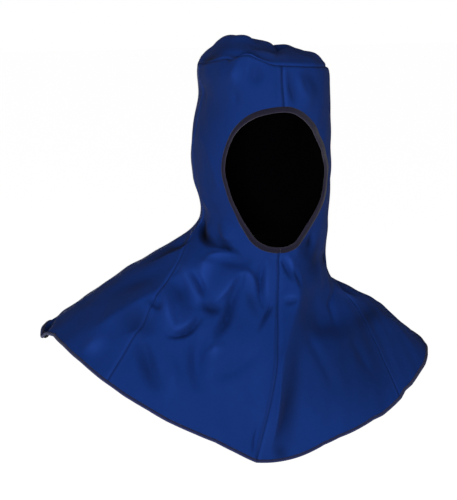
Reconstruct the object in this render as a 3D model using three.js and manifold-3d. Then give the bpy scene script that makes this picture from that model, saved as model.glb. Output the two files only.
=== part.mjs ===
// Welding hood: a cloth hood for head, neck and shoulders with an egg-shaped face opening.
// Millimetres, +Z up, the face opening looks along -Y, the wearer's left is +X.
// The origin is where the crown rests on the top of the wearer's head.

import * as THREE from 'three';
import Module from 'manifold-3d';

// Cloth and sewing
const CLOTH_WALL = 1.5;
const SEAM_GAP = 0.5;
const CROWN_SEAM_LEVEL = 10;
const CROWN_SEAM_INSET = 0.012;

// Face opening, measured to the raw edge of the cloth
const OPENING_MIDDLE_HEIGHT = -180.5;
const OPENING_HALF_HEIGHT = 96;
const OPENING_RIGHT = { halfAngle: 44, chinTaper: 0.17, roundness: 1.0 };
const OPENING_LEFT = { halfAngle: 38, chinTaper: 0, roundness: 1.25 };

// Bindings folded over the raw edges
const BINDING_TAPE = 0.9;
const BINDING_CLEARANCE = 0.45;
const BINDING_LEAST_GAP = 0.2;
const FACE_BINDING_WIDTH = 7;
const HEM_BINDING_WIDTH = 6;

// Mesh density. The rows below the chin lie closer together where the cloth is folded most.
const CAPE_LEVELS = [
  0, 0.1, 0.5, 1, 1.4, 1.7, 1.95, 2.2, 2.45,
  2.7, 2.95, 3.2, 3.45, 3.7, 3.9, 4.1, 4.3, 4.45,
];
const OPENING_ROWS = 18;
const FOREHEAD_ROWS = 3;
const FRONT_COLUMNS = 15;
const BACK_COLUMNS = 13;
const BACK_SPARSE_LEVELS = [5.4, 7.8];
const BACK_SPARSE_STEP = 3;
const CROWN_COLUMNS = 34;
const CROWN_RINGS = 5;
const FOLD_SAMPLES = 20;

// A row of the table of sections. Heights and reaches are given at the front, left, back and right of the
// wearer; centre is the middle of the section, square its squareness, twist how far its front is turned.
function section(name, heights, reaches, centre, square, twist) {
  return { name, heights, reaches, centre, square, twist };
}

// Sections of the hood from hem to crown. A level is a row number of this table.
const SECTIONS = [
  section('hem', [-541, -436, -500, -398], [222, 260, 200, 299], [-18, 15], 2.16, -12),
  section('cape_low', [-474, -404, -440, -362], [194, 216, 178, 246], [-16, 15], 2.15, -8),
  section('cape_high', [-402, -368, -380, -324], [160, 164, 150, 186], [-12, 14], 2.15, -4),
  section('shoulder', [-346, -338, -335, -291], [126, 110, 125, 133], [-6, 12], 2.1, -2),
  section('neck', [-302, -304, -296, -262], [103, 92, 108, 93], [-2, 8], 2.15, -1),
  section('jaw', [-256, -256, -250, -236], [98, 93, 106, 81], [0, 4], 2.2, 0),
  section('cheek', [-190, -190, -190, -190], [106, 93, 110, 95], [0, 0], 2.25, 0),
  section('eyes', [-135, -135, -135, -135], [111, 92, 113, 95], [0, 0], 2.3, 0),
  section('brow', [-80, -80, -80, -80], [112, 89, 114, 86], [0, 0], 2.35, 0),
  section('forehead', [-44, -48, -42, -38], [110, 87, 110, 87], [0, 0], 2.4, 0),
  section('crown_seam', [-24, -31, -24, -18], [105, 77, 100, 78], [0, 0], 2.4, 0),
  section('lid_edge', [-17, -17, -12, 1], [84, 61, 80, 60], [0, 0], 2.3, 0),
  section('lid_middle', [-12, -8, -3, 8], [46, 37, 44, 36], [0, 0], 2.1, 0),
  section('lid_centre', [-5, -5, -5, -5], [0, 0, 0, 0], [0, 0], 2, 0),
];

// How fast a section climbs from its front or back height to its side heights.
const RIGHT_SWEEP = 2.2;
const LEFT_SWEEP = 2.8;

// Side seams: the angle of the seam from the front, by level, on the wearer's right and left.
const SIDE_SEAMS = [
  { level: 0, right: 47, left: 57 },
  { level: 1, right: 51.5, left: 57 },
  { level: 2, right: 58, left: 61 },
  { level: 3, right: 70, left: 71 },
  { level: 4, right: 90, left: 90 },
  { level: 5, right: 96, left: 96 },
  { level: 14, right: 96, left: 96 },
];

// A row of the table of folds. A path is a chain of [angle in degrees, level] stops on the plain surface;
// width is how far the fold spreads to each side, depth is outwards when positive,
// sharp is how crested it is (1 is a crest, 2 is rounded) and peak how far along the path it is deepest.
function fold(name, path, width, depth, sharp, peak) {
  return { name, path, width, depth, sharp, peak };
}

// Folds of the worn cloth
const FOLDS = [
  fold('crown_gather', [[-46, 9.7], [-32, 10.1], [-21, 10.1], [-11, 9.5]], 9, 5, 2, 0.5),
  fold('crown_corner_tuck', [[-119, 9.1], [-82, 9.65], [-52, 9.9]], 10, -9, 2, 0.4),
  fold('lid_valley', [[-6, 10.5], [20, 12.3], [150, 12], [165, 10.8]], 13, -6, 2, 0.3),
  fold('forehead_dent', [[-24, 9.45], [-21, 9.05], [-16, 8.7]], 12, -4, 2, 0.4),
  fold('forehead_wedge', [[5, 9.25], [10, 8.55], [19, 8]], 9, 3, 2, 0.5),
  fold('temple_ridge', [[-98, 7.5], [-66, 6.85], [-57, 6.2], [-55, 5.6]], 9, 4, 1.6, 0.5),
  fold('temple_hollow', [[-121, 8.05], [-90, 8.2], [-76, 7.9]], 10, -4, 2, 0.5),
  fold('jaw_tuck', [[-116, 4.7], [-74, 4.15], [-58, 3.95], [-45, 4.05], [-31, 4.2]], 10, -15, 2, 0.45),
  fold('jaw_overhang', [[-70, 4.6], [-54, 4.45], [-40, 4.5]], 9, 4, 2, 0.6),
  fold('under_jaw_ridge', [[-56, 3.35], [-54, 3.6], [-44, 3.8], [-30, 3.95]], 7, 4, 2, 0.5),
  fold('left_neck_pinch', [[67, 4], [49, 4], [32, 4.05]], 8, -8, 2, 0.4),
  fold('shoulder_tuck', [[-67, 3], [-74, 3.45], [-89, 4.15]], 8, -6, 2, 0.5),
  fold('chest_slit', [[-60, 3.1], [-48, 2.9], [-42, 2.75], [-37, 2.5]], 7, -6, 2, 0.6),
  fold('zigzag_outer', [[-64, 2.85], [-49, 2.65], [-39, 2.5], [-34, 2.65]], 9, 5, 1.6, 0.6),
  fold('zigzag_inner', [[-37, 2.5], [-31, 2.9], [-24, 3.6], [-12, 3.2]], 9, 7, 1.6, 0.6),
  fold('chest_valley', [[-24, 3.5], [-26, 2.85], [-26, 2.3], [-30, 1.8]], 10, -8, 1.6, 0.5),
  fold('chest_dimple', [[-42, 2.4], [-35, 2.35], [-28, 2.4]], 8, -5, 2, 0.5),
  fold('smile', [[-46, 1.45], [-39, 1.65], [-37, 1.9], [-38, 2.35]], 9, -7, 2, 0.5),
  fold('seam_pillar', [[-62, 2.35], [-51, 2], [-42, 1.75]], 10, 5, 2, 0.5),
  fold('outer_hollow', [[-56, 2.65], [-47, 2.35], [-43, 2]], 12, -5, 2, 0.5),
  fold('centre_slit', [[-13, 4.1], [-11, 3.5], [-8, 2.7]], 7, -4, 2, 0.5),
  fold('keel_top', [[15, 4.3], [13, 3.9], [15, 3.2], [12, 2.75]], 10, 6, 1.6, 0.6),
  fold('keel', [[15, 3.2], [8, 2.35], [6, 1.45], [5, 0.55], [4, 0]], 26, 12, 1.1, 0.4),
  fold('keel_hollow', [[8, 1.45], [9, 0.95], [9, 0.3]], 11, -4, 2, 0.5),
  fold('left_hollow', [[18, 3], [28, 2.35], [40, 1.75]], 26, -12, 2, 0.5),
  fold('left_crease', [[17, 2.3], [24, 1.6], [33, 0.7]], 11, -4, 1.6, 0.4),
  fold('left_side_crease', [[43, 1.75], [46, 1.2], [49, 0.55]], 11, -3, 1.6, 0.5),
  fold('left_shoulder_ridge', [[72, 2.45], [94, 1.65], [90, 1.05]], 15, 7, 2, 0.4),
  fold('cape_valley_outer', [[-48, 1.15], [-40, 0.9], [-32, 0.35]], 13, -5, 2, 0.5),
  fold('cape_valley_inner', [[-38, 2.15], [-33, 1.6], [-26, 0.95]], 12, -6, 2, 0.5),
  fold('cape_valley_middle', [[-19, 2.05], [-18, 1.5], [-16, 0.95]], 15, -5, 2, 0.5),
  fold('shoulder_ridge', [[-56, 2.55], [-61, 1.55], [-64, 0.05]], 18, 8, 1.6, 0.5),
  fold('shoulder_step', [[-66, 3.35], [-75, 2.8], [-83, 2]], 9, 6, 2, 0.4),
  fold('hem_tip_dip', [[-122, 0.8], [-112, 0.3], [-106, -0.2]], 20, -9, 2, 0.7),
  fold('nape_tuck', [[140, 4.3], [180, 4.15], [225, 4.3]], 12, -8, 2, 0.5),
  fold('nape_roll', [[145, 4.9], [180, 4.75], [215, 4.9]], 13, 5, 2, 0.5),
  fold('back_valley_left', [[140, 3.2], [136, 1.8], [130, 0.2]], 22, -10, 2, 0.6),
  fold('back_ridge', [[176, 3.4], [180, 1.8], [184, 0]], 24, 8, 1.6, 0.6),
  fold('back_valley_right', [[212, 3.2], [216, 1.8], [222, 0.2]], 22, -10, 2, 0.6),
];

const CLOTH_COLOUR = 0x1a3570;
const CROWN_COLOUR = 0x1e2c56;
const BINDING_COLOUR = 0x23243f;

const radians = THREE.MathUtils.degToRad;

// The value of a smooth curve through four neighbouring stops, part of the way from the second to the third.
function smoothBetween(before, start, end, after, part) {
  const slope = end - before;
  const bend = 2 * before - 5 * start + 4 * end - after;
  const turn = 3 * start - before - 3 * end + after;
  return 0.5 * (2 * start + slope * part + bend * part ** 2 + turn * part ** 3);
}

// A smooth curve through rows of numbers, at a row position.
function smoothRow(rows, position) {
  const last = rows.length - 1;
  const index = Math.min(Math.max(Math.floor(position), 0), last - 1);
  const start = rows[index];
  const end = rows[index + 1];
  const before = rows[index - 1] ?? start.map((value, column) => 2 * value - end[column]);
  const after = rows[index + 2] ?? end.map((value, column) => 2 * value - start[column]);
  return start.map((value, column) => (
    smoothBetween(before[column], value, end[column], after[column], position - index)
  ));
}

const SECTION_ROWS = SECTIONS.map(({ heights, reaches, centre, square, twist }) => (
  [...heights, ...reaches, ...centre, square, twist]
));

// The angle of a side seam from the front at a level, without its sign.
function seamAngle(side, level) {
  const found = SIDE_SEAMS.findIndex((row) => row.level > level);
  const above = Math.max(found, 1);
  const low = SIDE_SEAMS[above - 1];
  const high = SIDE_SEAMS[above];
  const rows = SIDE_SEAMS.map((row) => [row[side]]);
  const part = (level - low.level) / (high.level - low.level);
  return smoothRow(rows, above - 1 + part)[0];
}

// A point of the plain, unfolded surface. Angles are in radians from the front towards the wearer's left.
function plainPoint(angle, level) {
  const row = smoothRow(SECTION_ROWS, level);
  const [frontHeight, leftHeight, backHeight, rightHeight] = row;
  const [front, left, back, right, x, y, square, twist] = row.slice(4);
  const direction = angle + radians(twist);
  const sideways = Math.sin(direction);
  const forwards = Math.cos(direction);
  const sideReach = Math.max(sideways > 0 ? left : right, 0.01);
  const deepReach = Math.max(forwards > 0 ? front : back, 0.01);
  const sum = (Math.abs(sideways) / sideReach) ** square + (Math.abs(forwards) / deepReach) ** square;
  const reach = sum ** (-1 / square);
  const ahead = forwards > 0 ? frontHeight : backHeight;
  const aside = sideways > 0 ? leftHeight : rightHeight;
  const sweep = sideways > 0 ? LEFT_SWEEP : RIGHT_SWEEP;
  const height = aside + (ahead - aside) * Math.abs(forwards) ** sweep;
  return new THREE.Vector3(x + reach * sideways, y - reach * forwards, height);
}

// The outward normal of a surface function by small differences.
function normalOf(surface, angle, level) {
  const step = 0.004;
  const across = surface(angle + step, level).sub(surface(angle - step, level));
  const up = surface(angle, level + step).sub(surface(angle, level - step));
  return across.cross(up).normalize();
}

// A fold with its path laid out as points on the plain surface.
function layFold(fold) {
  const points = [];
  const last = fold.path.length - 1;
  for (let index = 0; index <= FOLD_SAMPLES; index += 1) {
    const [angle, level] = smoothRow(fold.path, (index / FOLD_SAMPLES) * last);
    points.push(plainPoint(radians(angle), level));
  }
  const middle = new THREE.Box3().setFromPoints(points).getBoundingSphere(new THREE.Sphere());
  return { ...fold, points, middle };
}

const LAID_FOLDS = FOLDS.map(layFold);

// How high a fold stands at a point of the plain surface.
function foldHeight(fold, point) {
  if (fold.middle.distanceToPoint(point) > 4 * fold.width) {
    return 0;
  }
  const line = new THREE.Line3();
  const nearest = new THREE.Vector3();
  let distance = Infinity;
  let along = 0;
  for (let index = 0; index < FOLD_SAMPLES; index += 1) {
    line.set(fold.points[index], fold.points[index + 1]);
    const part = line.closestPointToPointParameter(point, true);
    const gap = line.at(part, nearest).distanceTo(point);
    if (gap < distance) {
      distance = gap;
      along = (index + part) / FOLD_SAMPLES;
    }
  }
  const rise = along < fold.peak ? along / fold.peak : (1 - along) / (1 - fold.peak);
  const taper = Math.sin(0.5 * Math.PI * Math.max(rise, 0)) ** 1.5;
  return fold.depth * taper * Math.exp(-((distance / fold.width) ** fold.sharp));
}

// A point of the folded cloth, on its outer face.
function clothPoint(angle, level) {
  const point = plainPoint(angle, level);
  const height = LAID_FOLDS.reduce((sum, fold) => sum + foldHeight(fold, point), 0);
  return point.addScaledVector(normalOf(plainPoint, angle, level), height);
}

// The outward normal of the folded cloth. The middle of the lid faces straight up.
function clothNormal(angle, level) {
  if (level > SECTIONS.length - 1.2) {
    return new THREE.Vector3(0, 0, 1);
  }
  return normalOf(clothPoint, angle, level);
}

// A place on the cloth: its angle and level, its outer point and its normal.
function clothPlace(angle, level) {
  return { angle, level, point: clothPoint(angle, level), normal: clothNormal(angle, level) };
}

// The angle that half a seam gap takes up at a place.
function halfGapAngle(angle, level) {
  const point = plainPoint(angle, level);
  return SEAM_GAP / 2 / Math.hypot(point.x, point.y);
}

// The level at which the plain surface has a height, on the front line of the head.
function frontLevel(height) {
  let low = 3.5;
  let high = 9;
  for (let step = 0; step < 40; step += 1) {
    const middle = (low + high) / 2;
    if (plainPoint(0, middle).z < height) {
      low = middle;
    } else {
      high = middle;
    }
  }
  return (low + high) / 2;
}

// A level on the edge of the face opening: turn runs from 0 at the chin to pi at the brow.
function openingLevel(turn) {
  return frontLevel(OPENING_MIDDLE_HEIGHT - OPENING_HALF_HEIGHT * Math.cos(turn));
}

// How far the face opening reaches to one side at a turn, as an angle from the front.
function openingAngle(side, turn) {
  const shape = side === 'right' ? OPENING_RIGHT : OPENING_LEFT;
  const spread = Math.sin(turn) ** shape.roundness * (1 - shape.chinTaper * Math.cos(turn));
  return Math.max(radians(shape.halfAngle * spread), halfGapAngle(0, openingLevel(turn)));
}

// The turns of the rows that end on the face opening.
const OPENING_TURNS = Array.from({ length: OPENING_ROWS + 1 }, (_, row) => (row / OPENING_ROWS) * Math.PI);

// The levels of the rows above the face opening.
function foreheadLevels() {
  const brow = openingLevel(Math.PI);
  const top = CROWN_SEAM_LEVEL - CROWN_SEAM_INSET;
  return Array.from({ length: FOREHEAD_ROWS }, (_, row) => brow + ((top - brow) * (row + 1)) / FOREHEAD_ROWS);
}

// The inner edge of a front panel from hem to crown seam, as stops with an unsigned angle and a level.
function frontInnerEdge(side) {
  const onSeam = (level) => ({ angle: halfGapAngle(0, level), level });
  const onOpening = (turn) => ({ angle: openingAngle(side, turn), level: openingLevel(turn) });
  return [
    ...CAPE_LEVELS.map(onSeam),
    ...OPENING_TURNS.map(onOpening),
    ...foreheadLevels().map(onSeam),
  ];
}

// The places of a front panel, row by row, from the centre front or the face opening to the side seam.
function frontPlaces(side) {
  const sign = side === 'right' ? -1 : 1;
  return frontInnerEdge(side).map(({ angle, level }) => {
    const seam = radians(seamAngle(side, level));
    const outer = seam - halfGapAngle(sign * seam, level);
    const places = [];
    for (let column = 0; column <= FRONT_COLUMNS; column += 1) {
      const turned = angle + ((outer - angle) * column) / FRONT_COLUMNS;
      places.push(clothPlace(sign * turned, level));
    }
    return side === 'right' ? places.reverse() : places;
  });
}

// The levels of the rows of the back panels: those of the fronts, but only some where the head is smooth.
function backLevels() {
  const [low, high] = BACK_SPARSE_LEVELS;
  const levels = frontInnerEdge('right').map((stop) => stop.level);
  return levels.filter((level, row) => level < low || level > high || row % BACK_SPARSE_STEP === 0);
}

// The places of one half of the back, row by row: the left half runs from the left side seam
// to the centre back seam, and the right half from there to the right side seam.
function backPlaces(side) {
  return backLevels().map((level) => {
    const turn = radians(seamAngle(side, level));
    const [from, to] = side === 'left' ? [turn, Math.PI] : [Math.PI, 2 * Math.PI - turn];
    const start = from + halfGapAngle(from, level);
    const end = to - halfGapAngle(to, level);
    const places = [];
    for (let column = 0; column <= BACK_COLUMNS; column += 1) {
      places.push(clothPlace(start + ((end - start) * column) / BACK_COLUMNS, level));
    }
    return places;
  });
}

// A point beside a place of the cloth, along its normal.
function offPoint(place, distance) {
  return place.point.clone().addScaledVector(place.normal, distance);
}

// A geometry from points and triangles.
function geometryOf(points, triangles) {
  const geometry = new THREE.BufferGeometry();
  const positions = points.flatMap((point) => [point.x, point.y, point.z]);
  geometry.setAttribute('position', new THREE.Float32BufferAttribute(positions, 3));
  geometry.setIndex(triangles);
  geometry.computeVertexNormals();
  return geometry;
}

// A closed wall over a grid of places: outer face, inner face and the cut edges between them.
// Both faces can be grown by a distance.
function wallGeometry(rows, growth = 0) {
  const height = rows.length;
  const width = rows[0].length;
  const places = rows.flat();
  const outer = places.map((place) => offPoint(place, growth));
  const inner = places.map((place) => offPoint(place, -CLOTH_WALL - growth));
  const points = [...outer, ...inner];
  const inside = places.length;
  const triangles = [];
  const quad = (a, b, c, d) => triangles.push(a, b, c, a, c, d);
  const at = (row, column) => row * width + column;
  for (let row = 0; row < height - 1; row += 1) {
    for (let column = 0; column < width - 1; column += 1) {
      const corners = [at(row, column), at(row, column + 1), at(row + 1, column + 1), at(row + 1, column)];
      quad(...corners);
      quad(...corners.reverse().map((corner) => corner + inside));
    }
  }
  const rim = [];
  for (let column = 0; column < width - 1; column += 1) rim.push(at(0, column));
  for (let row = 0; row < height - 1; row += 1) rim.push(at(row, width - 1));
  for (let column = width - 1; column > 0; column -= 1) rim.push(at(height - 1, column));
  for (let row = height - 1; row > 0; row -= 1) rim.push(at(row, 0));
  rim.forEach((corner, index) => {
    const next = rim[(index + 1) % rim.length];
    quad(next, corner, corner + inside, next + inside);
  });
  return geometryOf(points, triangles);
}

// The rings of the crown panel, from the crown seam up to the ring round its middle.
function crownRings() {
  const low = CROWN_SEAM_LEVEL + CROWN_SEAM_INSET;
  const high = SECTIONS.length - 1;
  const rings = [];
  for (let ring = 0; ring < CROWN_RINGS; ring += 1) {
    const level = low + ((high - low) * ring) / CROWN_RINGS;
    const places = [];
    for (let column = 0; column < CROWN_COLUMNS; column += 1) {
      places.push(clothPlace((column / CROWN_COLUMNS) * 2 * Math.PI, level));
    }
    rings.push(places);
  }
  return rings;
}

// The lid as a closed wall: rings joined all the way round, a fan in the middle and one cut edge.
function crownGeometry() {
  const places = crownRings().flat();
  places.push(clothPlace(0, SECTIONS.length - 1));
  const inside = places.length;
  const middle = inside - 1;
  const inner = places.map((place) => offPoint(place, -CLOTH_WALL));
  const points = [...places.map((place) => place.point), ...inner];
  const triangles = [];
  const quad = (a, b, c, d) => triangles.push(a, b, c, a, c, d);
  const at = (ring, column) => ring * CROWN_COLUMNS + (column % CROWN_COLUMNS);
  for (let column = 0; column < CROWN_COLUMNS; column += 1) {
    for (let ring = 0; ring < CROWN_RINGS - 1; ring += 1) {
      const above = ring + 1;
      const corners = [at(ring, column), at(ring, column + 1), at(above, column + 1), at(above, column)];
      quad(...corners);
      quad(...corners.reverse().map((corner) => corner + inside));
    }
    const here = at(CROWN_RINGS - 1, column);
    const next = at(CROWN_RINGS - 1, column + 1);
    triangles.push(here, next, middle);
    triangles.push(next + inside, here + inside, middle + inside);
    quad(at(0, column + 1), at(0, column), at(0, column) + inside, at(0, column + 1) + inside);
  }
  return geometryOf(points, triangles);
}

// The place a short way across the cloth from another, in a direction that lies in the cloth.
function stepAcross(place, direction, distance) {
  const step = 0.004;
  const { angle, level } = place;
  const turn = clothPoint(angle + step, level).sub(clothPoint(angle - step, level)).divideScalar(2 * step);
  const climb = clothPoint(angle, level + step).sub(clothPoint(angle, level - step)).divideScalar(2 * step);
  const turnTurn = turn.dot(turn);
  const turnClimb = turn.dot(climb);
  const climbClimb = climb.dot(climb);
  const scale = turnTurn * climbClimb - turnClimb ** 2;
  const turnPart = direction.dot(turn) * distance;
  const climbPart = direction.dot(climb) * distance;
  return clothPlace(
    angle + (turnPart * climbClimb - climbPart * turnClimb) / scale,
    level + (climbPart * turnTurn - turnPart * turnClimb) / scale,
  );
}

// The outline of a binding where it is folded over an edge: out along the face, round the edge, back inside.
function bindingSection(edge, tangent, width) {
  const inwards = edge.normal.clone().cross(tangent).normalize();
  const deep = stepAcross(edge, inwards, width);
  const beside = (place, across, out) => (
    place.point.clone().addScaledVector(inwards, across).addScaledVector(place.normal, out)
  );
  const near = BINDING_CLEARANCE;
  const far = BINDING_CLEARANCE + BINDING_TAPE;
  const under = -CLOTH_WALL;
  return [
    beside(deep, 0, near),
    beside(deep, 0, far),
    beside(edge, -far * 0.5, far * 0.9),
    beside(edge, -far, under / 2),
    beside(edge, -far * 0.5, under - far * 0.9),
    beside(deep, 0, under - far),
    beside(deep, 0, under - near),
    beside(edge, -near, under - near),
    beside(edge, -near, near),
  ];
}

// A binding swept along a closed chain of edge places that has the cloth on its left, seen from outside.
function bindingGeometry(edges, width) {
  const count = edges.length;
  const sections = edges.map((edge, index) => {
    const before = edges[(index + count - 1) % count].point;
    const after = edges[(index + 1) % count].point;
    return bindingSection(edge, after.clone().sub(before).normalize(), width);
  });
  const sides = sections[0].length;
  const triangles = [];
  sections.forEach((section, index) => {
    const here = index * sides;
    const next = ((index + 1) % count) * sides;
    for (let side = 0; side < sides; side += 1) {
      const other = (side + 1) % sides;
      triangles.push(here + side, here + other, next + other, here + side, next + other, next + side);
    }
  });
  return geometryOf(sections.flat(), triangles);
}

// A geometry as a solid body that can be cut.
function bodyOf(geometry) {
  const vertProperties = new Float32Array(geometry.getAttribute('position').array);
  const triVerts = new Uint32Array(geometry.getIndex().array);
  return new solids.Manifold(new solids.Mesh({ numProp: 3, vertProperties, triVerts }));
}

// A solid body as a geometry again.
function geometryOfBody(body) {
  const mesh = body.getMesh();
  const points = [];
  for (let index = 0; index < mesh.numVert; index += 1) {
    points.push(new THREE.Vector3().fromArray(mesh.vertProperties, index * mesh.numProp));
  }
  return geometryOf(points, Array.from(mesh.triVerts));
}

// A binding, trimmed wherever the cloth between its legs comes too near.
function trimmedBinding(edges, width, panels) {
  const swept = bodyOf(bindingGeometry(edges, width));
  const trimmed = panels.reduce(
    (body, rows) => body.subtract(bodyOf(wallGeometry(rows, BINDING_LEAST_GAP))),
    swept,
  );
  return geometryOfBody(trimmed);
}

// A chain of edge places without the doubled stops where two panels meet.
function withoutDoubles(edges) {
  return edges.filter((edge, index) => {
    const before = edges[(index + edges.length - 1) % edges.length];
    return edge.point.distanceTo(before.point) > 4 * SEAM_GAP;
  });
}

// A named piece of the hood.
function piece(name, geometry, colour, roughness) {
  const material = new THREE.MeshStandardMaterial({ color: colour, roughness, metalness: 0 });
  const mesh = new THREE.Mesh(geometry, material);
  mesh.name = name;
  return mesh;
}

const solids = await Module();
solids.setup();

const rightRows = frontPlaces('right');
const leftRows = frontPlaces('left');
const backLeftRows = backPlaces('left');
const backRightRows = backPlaces('right');

// The hem runs from the right side seam across the front and round the back.
const hemRows = [rightRows[0], leftRows[0], backLeftRows[0], backRightRows[0]];
const hemEdge = withoutDoubles(hemRows.flat());

// The face opening runs up its right edge and down its left one, so the cloth lies on the left of its path.
const openingRows = [CAPE_LEVELS.length, CAPE_LEVELS.length + OPENING_TURNS.length];
const rightOpening = rightRows.slice(...openingRows).map((row) => row[FRONT_COLUMNS]);
const leftOpening = leftRows.slice(...openingRows).map((row) => row[0]).reverse();
const faceEdge = withoutDoubles([...rightOpening, ...leftOpening]);

const hood = new THREE.Group();
hood.name = 'welding_hood';
hood.add(piece('front_panel_right', wallGeometry(rightRows), CLOTH_COLOUR, 0.85));
hood.add(piece('front_panel_left', wallGeometry(leftRows), CLOTH_COLOUR, 0.85));
hood.add(piece('back_panel_right', wallGeometry(backRightRows), CLOTH_COLOUR, 0.85));
hood.add(piece('back_panel_left', wallGeometry(backLeftRows), CLOTH_COLOUR, 0.85));
hood.add(piece('crown_panel', crownGeometry(), CROWN_COLOUR, 0.85));
const faceBinding = trimmedBinding(faceEdge, FACE_BINDING_WIDTH, [rightRows, leftRows]);
hood.add(piece('face_binding', faceBinding, BINDING_COLOUR, 0.9));
hood.add(piece('hem_binding', bindingGeometry(hemEdge, HEM_BINDING_WIDTH), BINDING_COLOUR, 0.9));

export default hood;
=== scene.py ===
"""Welding hood: five cloth panels with their seams and two bound edges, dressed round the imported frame."""

import logging
import math
from dataclasses import dataclass
from dataclasses import field
from dataclasses import replace
from enum import Enum
from typing import Callable

import bpy
import numpy as np
from bpy.types import Material
from bpy.types import Node
from bpy.types import NodeSocket
from bpy.types import NodeTree
from bpy.types import Object
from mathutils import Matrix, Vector


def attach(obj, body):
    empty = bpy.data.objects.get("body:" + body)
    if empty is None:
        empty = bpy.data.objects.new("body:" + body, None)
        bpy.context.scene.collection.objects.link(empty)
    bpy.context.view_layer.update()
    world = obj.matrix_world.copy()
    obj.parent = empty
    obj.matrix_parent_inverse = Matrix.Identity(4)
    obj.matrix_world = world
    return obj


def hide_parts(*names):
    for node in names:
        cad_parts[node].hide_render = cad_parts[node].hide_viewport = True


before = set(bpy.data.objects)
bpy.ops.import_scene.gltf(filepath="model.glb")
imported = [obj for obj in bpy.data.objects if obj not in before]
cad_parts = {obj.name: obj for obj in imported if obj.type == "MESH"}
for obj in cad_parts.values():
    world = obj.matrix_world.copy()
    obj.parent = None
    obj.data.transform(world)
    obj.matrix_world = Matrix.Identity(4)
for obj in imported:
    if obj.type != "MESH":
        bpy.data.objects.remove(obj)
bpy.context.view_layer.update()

LOG = logging.getLogger("welding_hood")

Array = np.ndarray
Colour = tuple[int, int, int]

METRES_PER_MM = 0.001
BODY = "root"
CLOTH_UV = "cloth_uv"
WEAR_AND_HIGHLIGHT = "wear_and_highlight"
SHADE = "shade"
FULL_TURN = 6.283
# A length too short to count, and a distance past every seam
TINY = 1e-9
FAR = 1e3
# Numbers of the colour sockets on a Mix node, which share their names with others
MIX_FIRST_COLOUR = 6
MIX_SECOND_COLOUR = 7
MIX_COLOUR = 2


class Side(Enum):
    """The wearer's sides, each with the sign of its angles from the front."""

    RIGHT = -1
    LEFT = 1


class Tape(Enum):
    """The bound edges, each with its own tape."""

    FACE = "face"
    HEM = "hem"


class Slot(Enum):
    """Material slots of the record."""

    CLOTH = "cloth"
    BINDING = "binding"


@dataclass(frozen=True)
class Section:
    """One level line round the hood, in millimetres.

    Heights and reaches are given at the front, left, back and right. Square is how boxy the line is,
    and twist turns its quarters by some degrees.
    """

    name: str
    heights: tuple[float, float, float, float]
    reaches: tuple[float, float, float, float]
    centre: tuple[float, float]
    square: float
    twist: float

    def row(self) -> list[float]:
        """Gives the section as one row of numbers."""
        return [*self.heights, *self.reaches, *self.centre, self.square, self.twist]


@dataclass(frozen=True)
class Fold:
    """One fold of the worn cloth, along a path of (angle in degrees, level) stops.

    Width is how far it spreads to each side in millimetres, and depth is outwards when positive.
    Sharp is 1 for a crest and 2 for a rounded fold, peak is how far along the path it is deepest,
    sag is how far the cloth droops there, and push is how far it is pressed straight back. Lean makes
    the fold wider on the left of its path, seen from outside, and narrower on the right, or the other
    way round when negative. Shade is how much painted shade darkens the cloth in the fold, or, when
    negative, how much a painted highlight lightens its crest.
    """

    name: str
    path: tuple[tuple[float, float], ...]
    width: float
    depth: float
    sharp: float = 2.0
    peak: float = 0.5
    sag: float = 0.0
    push: float = 0.0
    lean: float = 0.0
    shade: float = 0.0


# Level lines from the hem up to the middle of the lid
SECTIONS = (
    Section("hem", (-541, -440, -498, -400), (222, 262, 200, 297), (-18, 15), 2.16, -12),
    Section("cape_low", (-474, -404, -440, -365), (194, 215, 178, 242), (-16, 15), 2.15, -8),
    Section("cape_high", (-402, -369, -380, -325), (160, 163, 150, 186), (-12, 14), 2.15, -4),
    Section("shoulder", (-346, -340, -335, -291), (126, 110, 125, 133), (-6, 12), 2.1, -2),
    Section("neck", (-302, -304, -296, -262), (103, 94, 108, 93), (-2, 8), 2.15, -1),
    Section("jaw", (-256, -256, -250, -236), (98, 93, 106, 83), (0, 4), 2.2, 0),
    Section("cheek", (-190, -190, -190, -190), (106, 93, 110, 96), (0, 0), 2.25, 0),
    Section("eyes", (-135, -135, -135, -135), (111, 92, 113, 97), (0, 0), 2.3, 0),
    Section("brow", (-80, -80, -80, -80), (112, 89, 114, 86), (0, 0), 2.35, -1),
    Section("forehead", (-44, -48, -42, -38), (110, 88, 110, 88), (0, 0), 2.4, -2),
    Section("crown_seam", (-24, -31, -24, -18), (105, 82, 100, 80), (0, 0), 2.4, -2),
    Section("lid_edge", (-13, -15, -13, 2), (84, 64, 80, 60), (0, 0), 2.3, 0),
    Section("lid_middle", (-6, -7, -3, 8), (46, 37, 44, 36), (0, 0), 2.1, 0),
    Section("lid_centre", (2, 2, 2, 2), (0, 0, 0, 0), (0, 0), 2.0, 0),
)
CROWN_SEAM_LEVEL = 10.0
LID_CENTRE_LEVEL = 13.0

# Side seams: levels, and the angle from the front on the wearer's right and left
SEAM_LEVELS = (0, 1, 2, 3, 4, 5, 14)
SEAM_ANGLES = {
    Side.RIGHT: (46, 51, 57, 67, 88, 96, 96),
    Side.LEFT: (57, 57, 61, 71, 90, 96, 96),
}

# Half angles of the face opening, at even turns from the chin to the brow
FACE_ANGLES = {
    Side.RIGHT: (0, 17, 27, 36, 42, 45, 41, 32, 18, 0),
    Side.LEFT: (0, 13, 20, 31, 41, 39, 29, 20, 10, 0),
}

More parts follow.
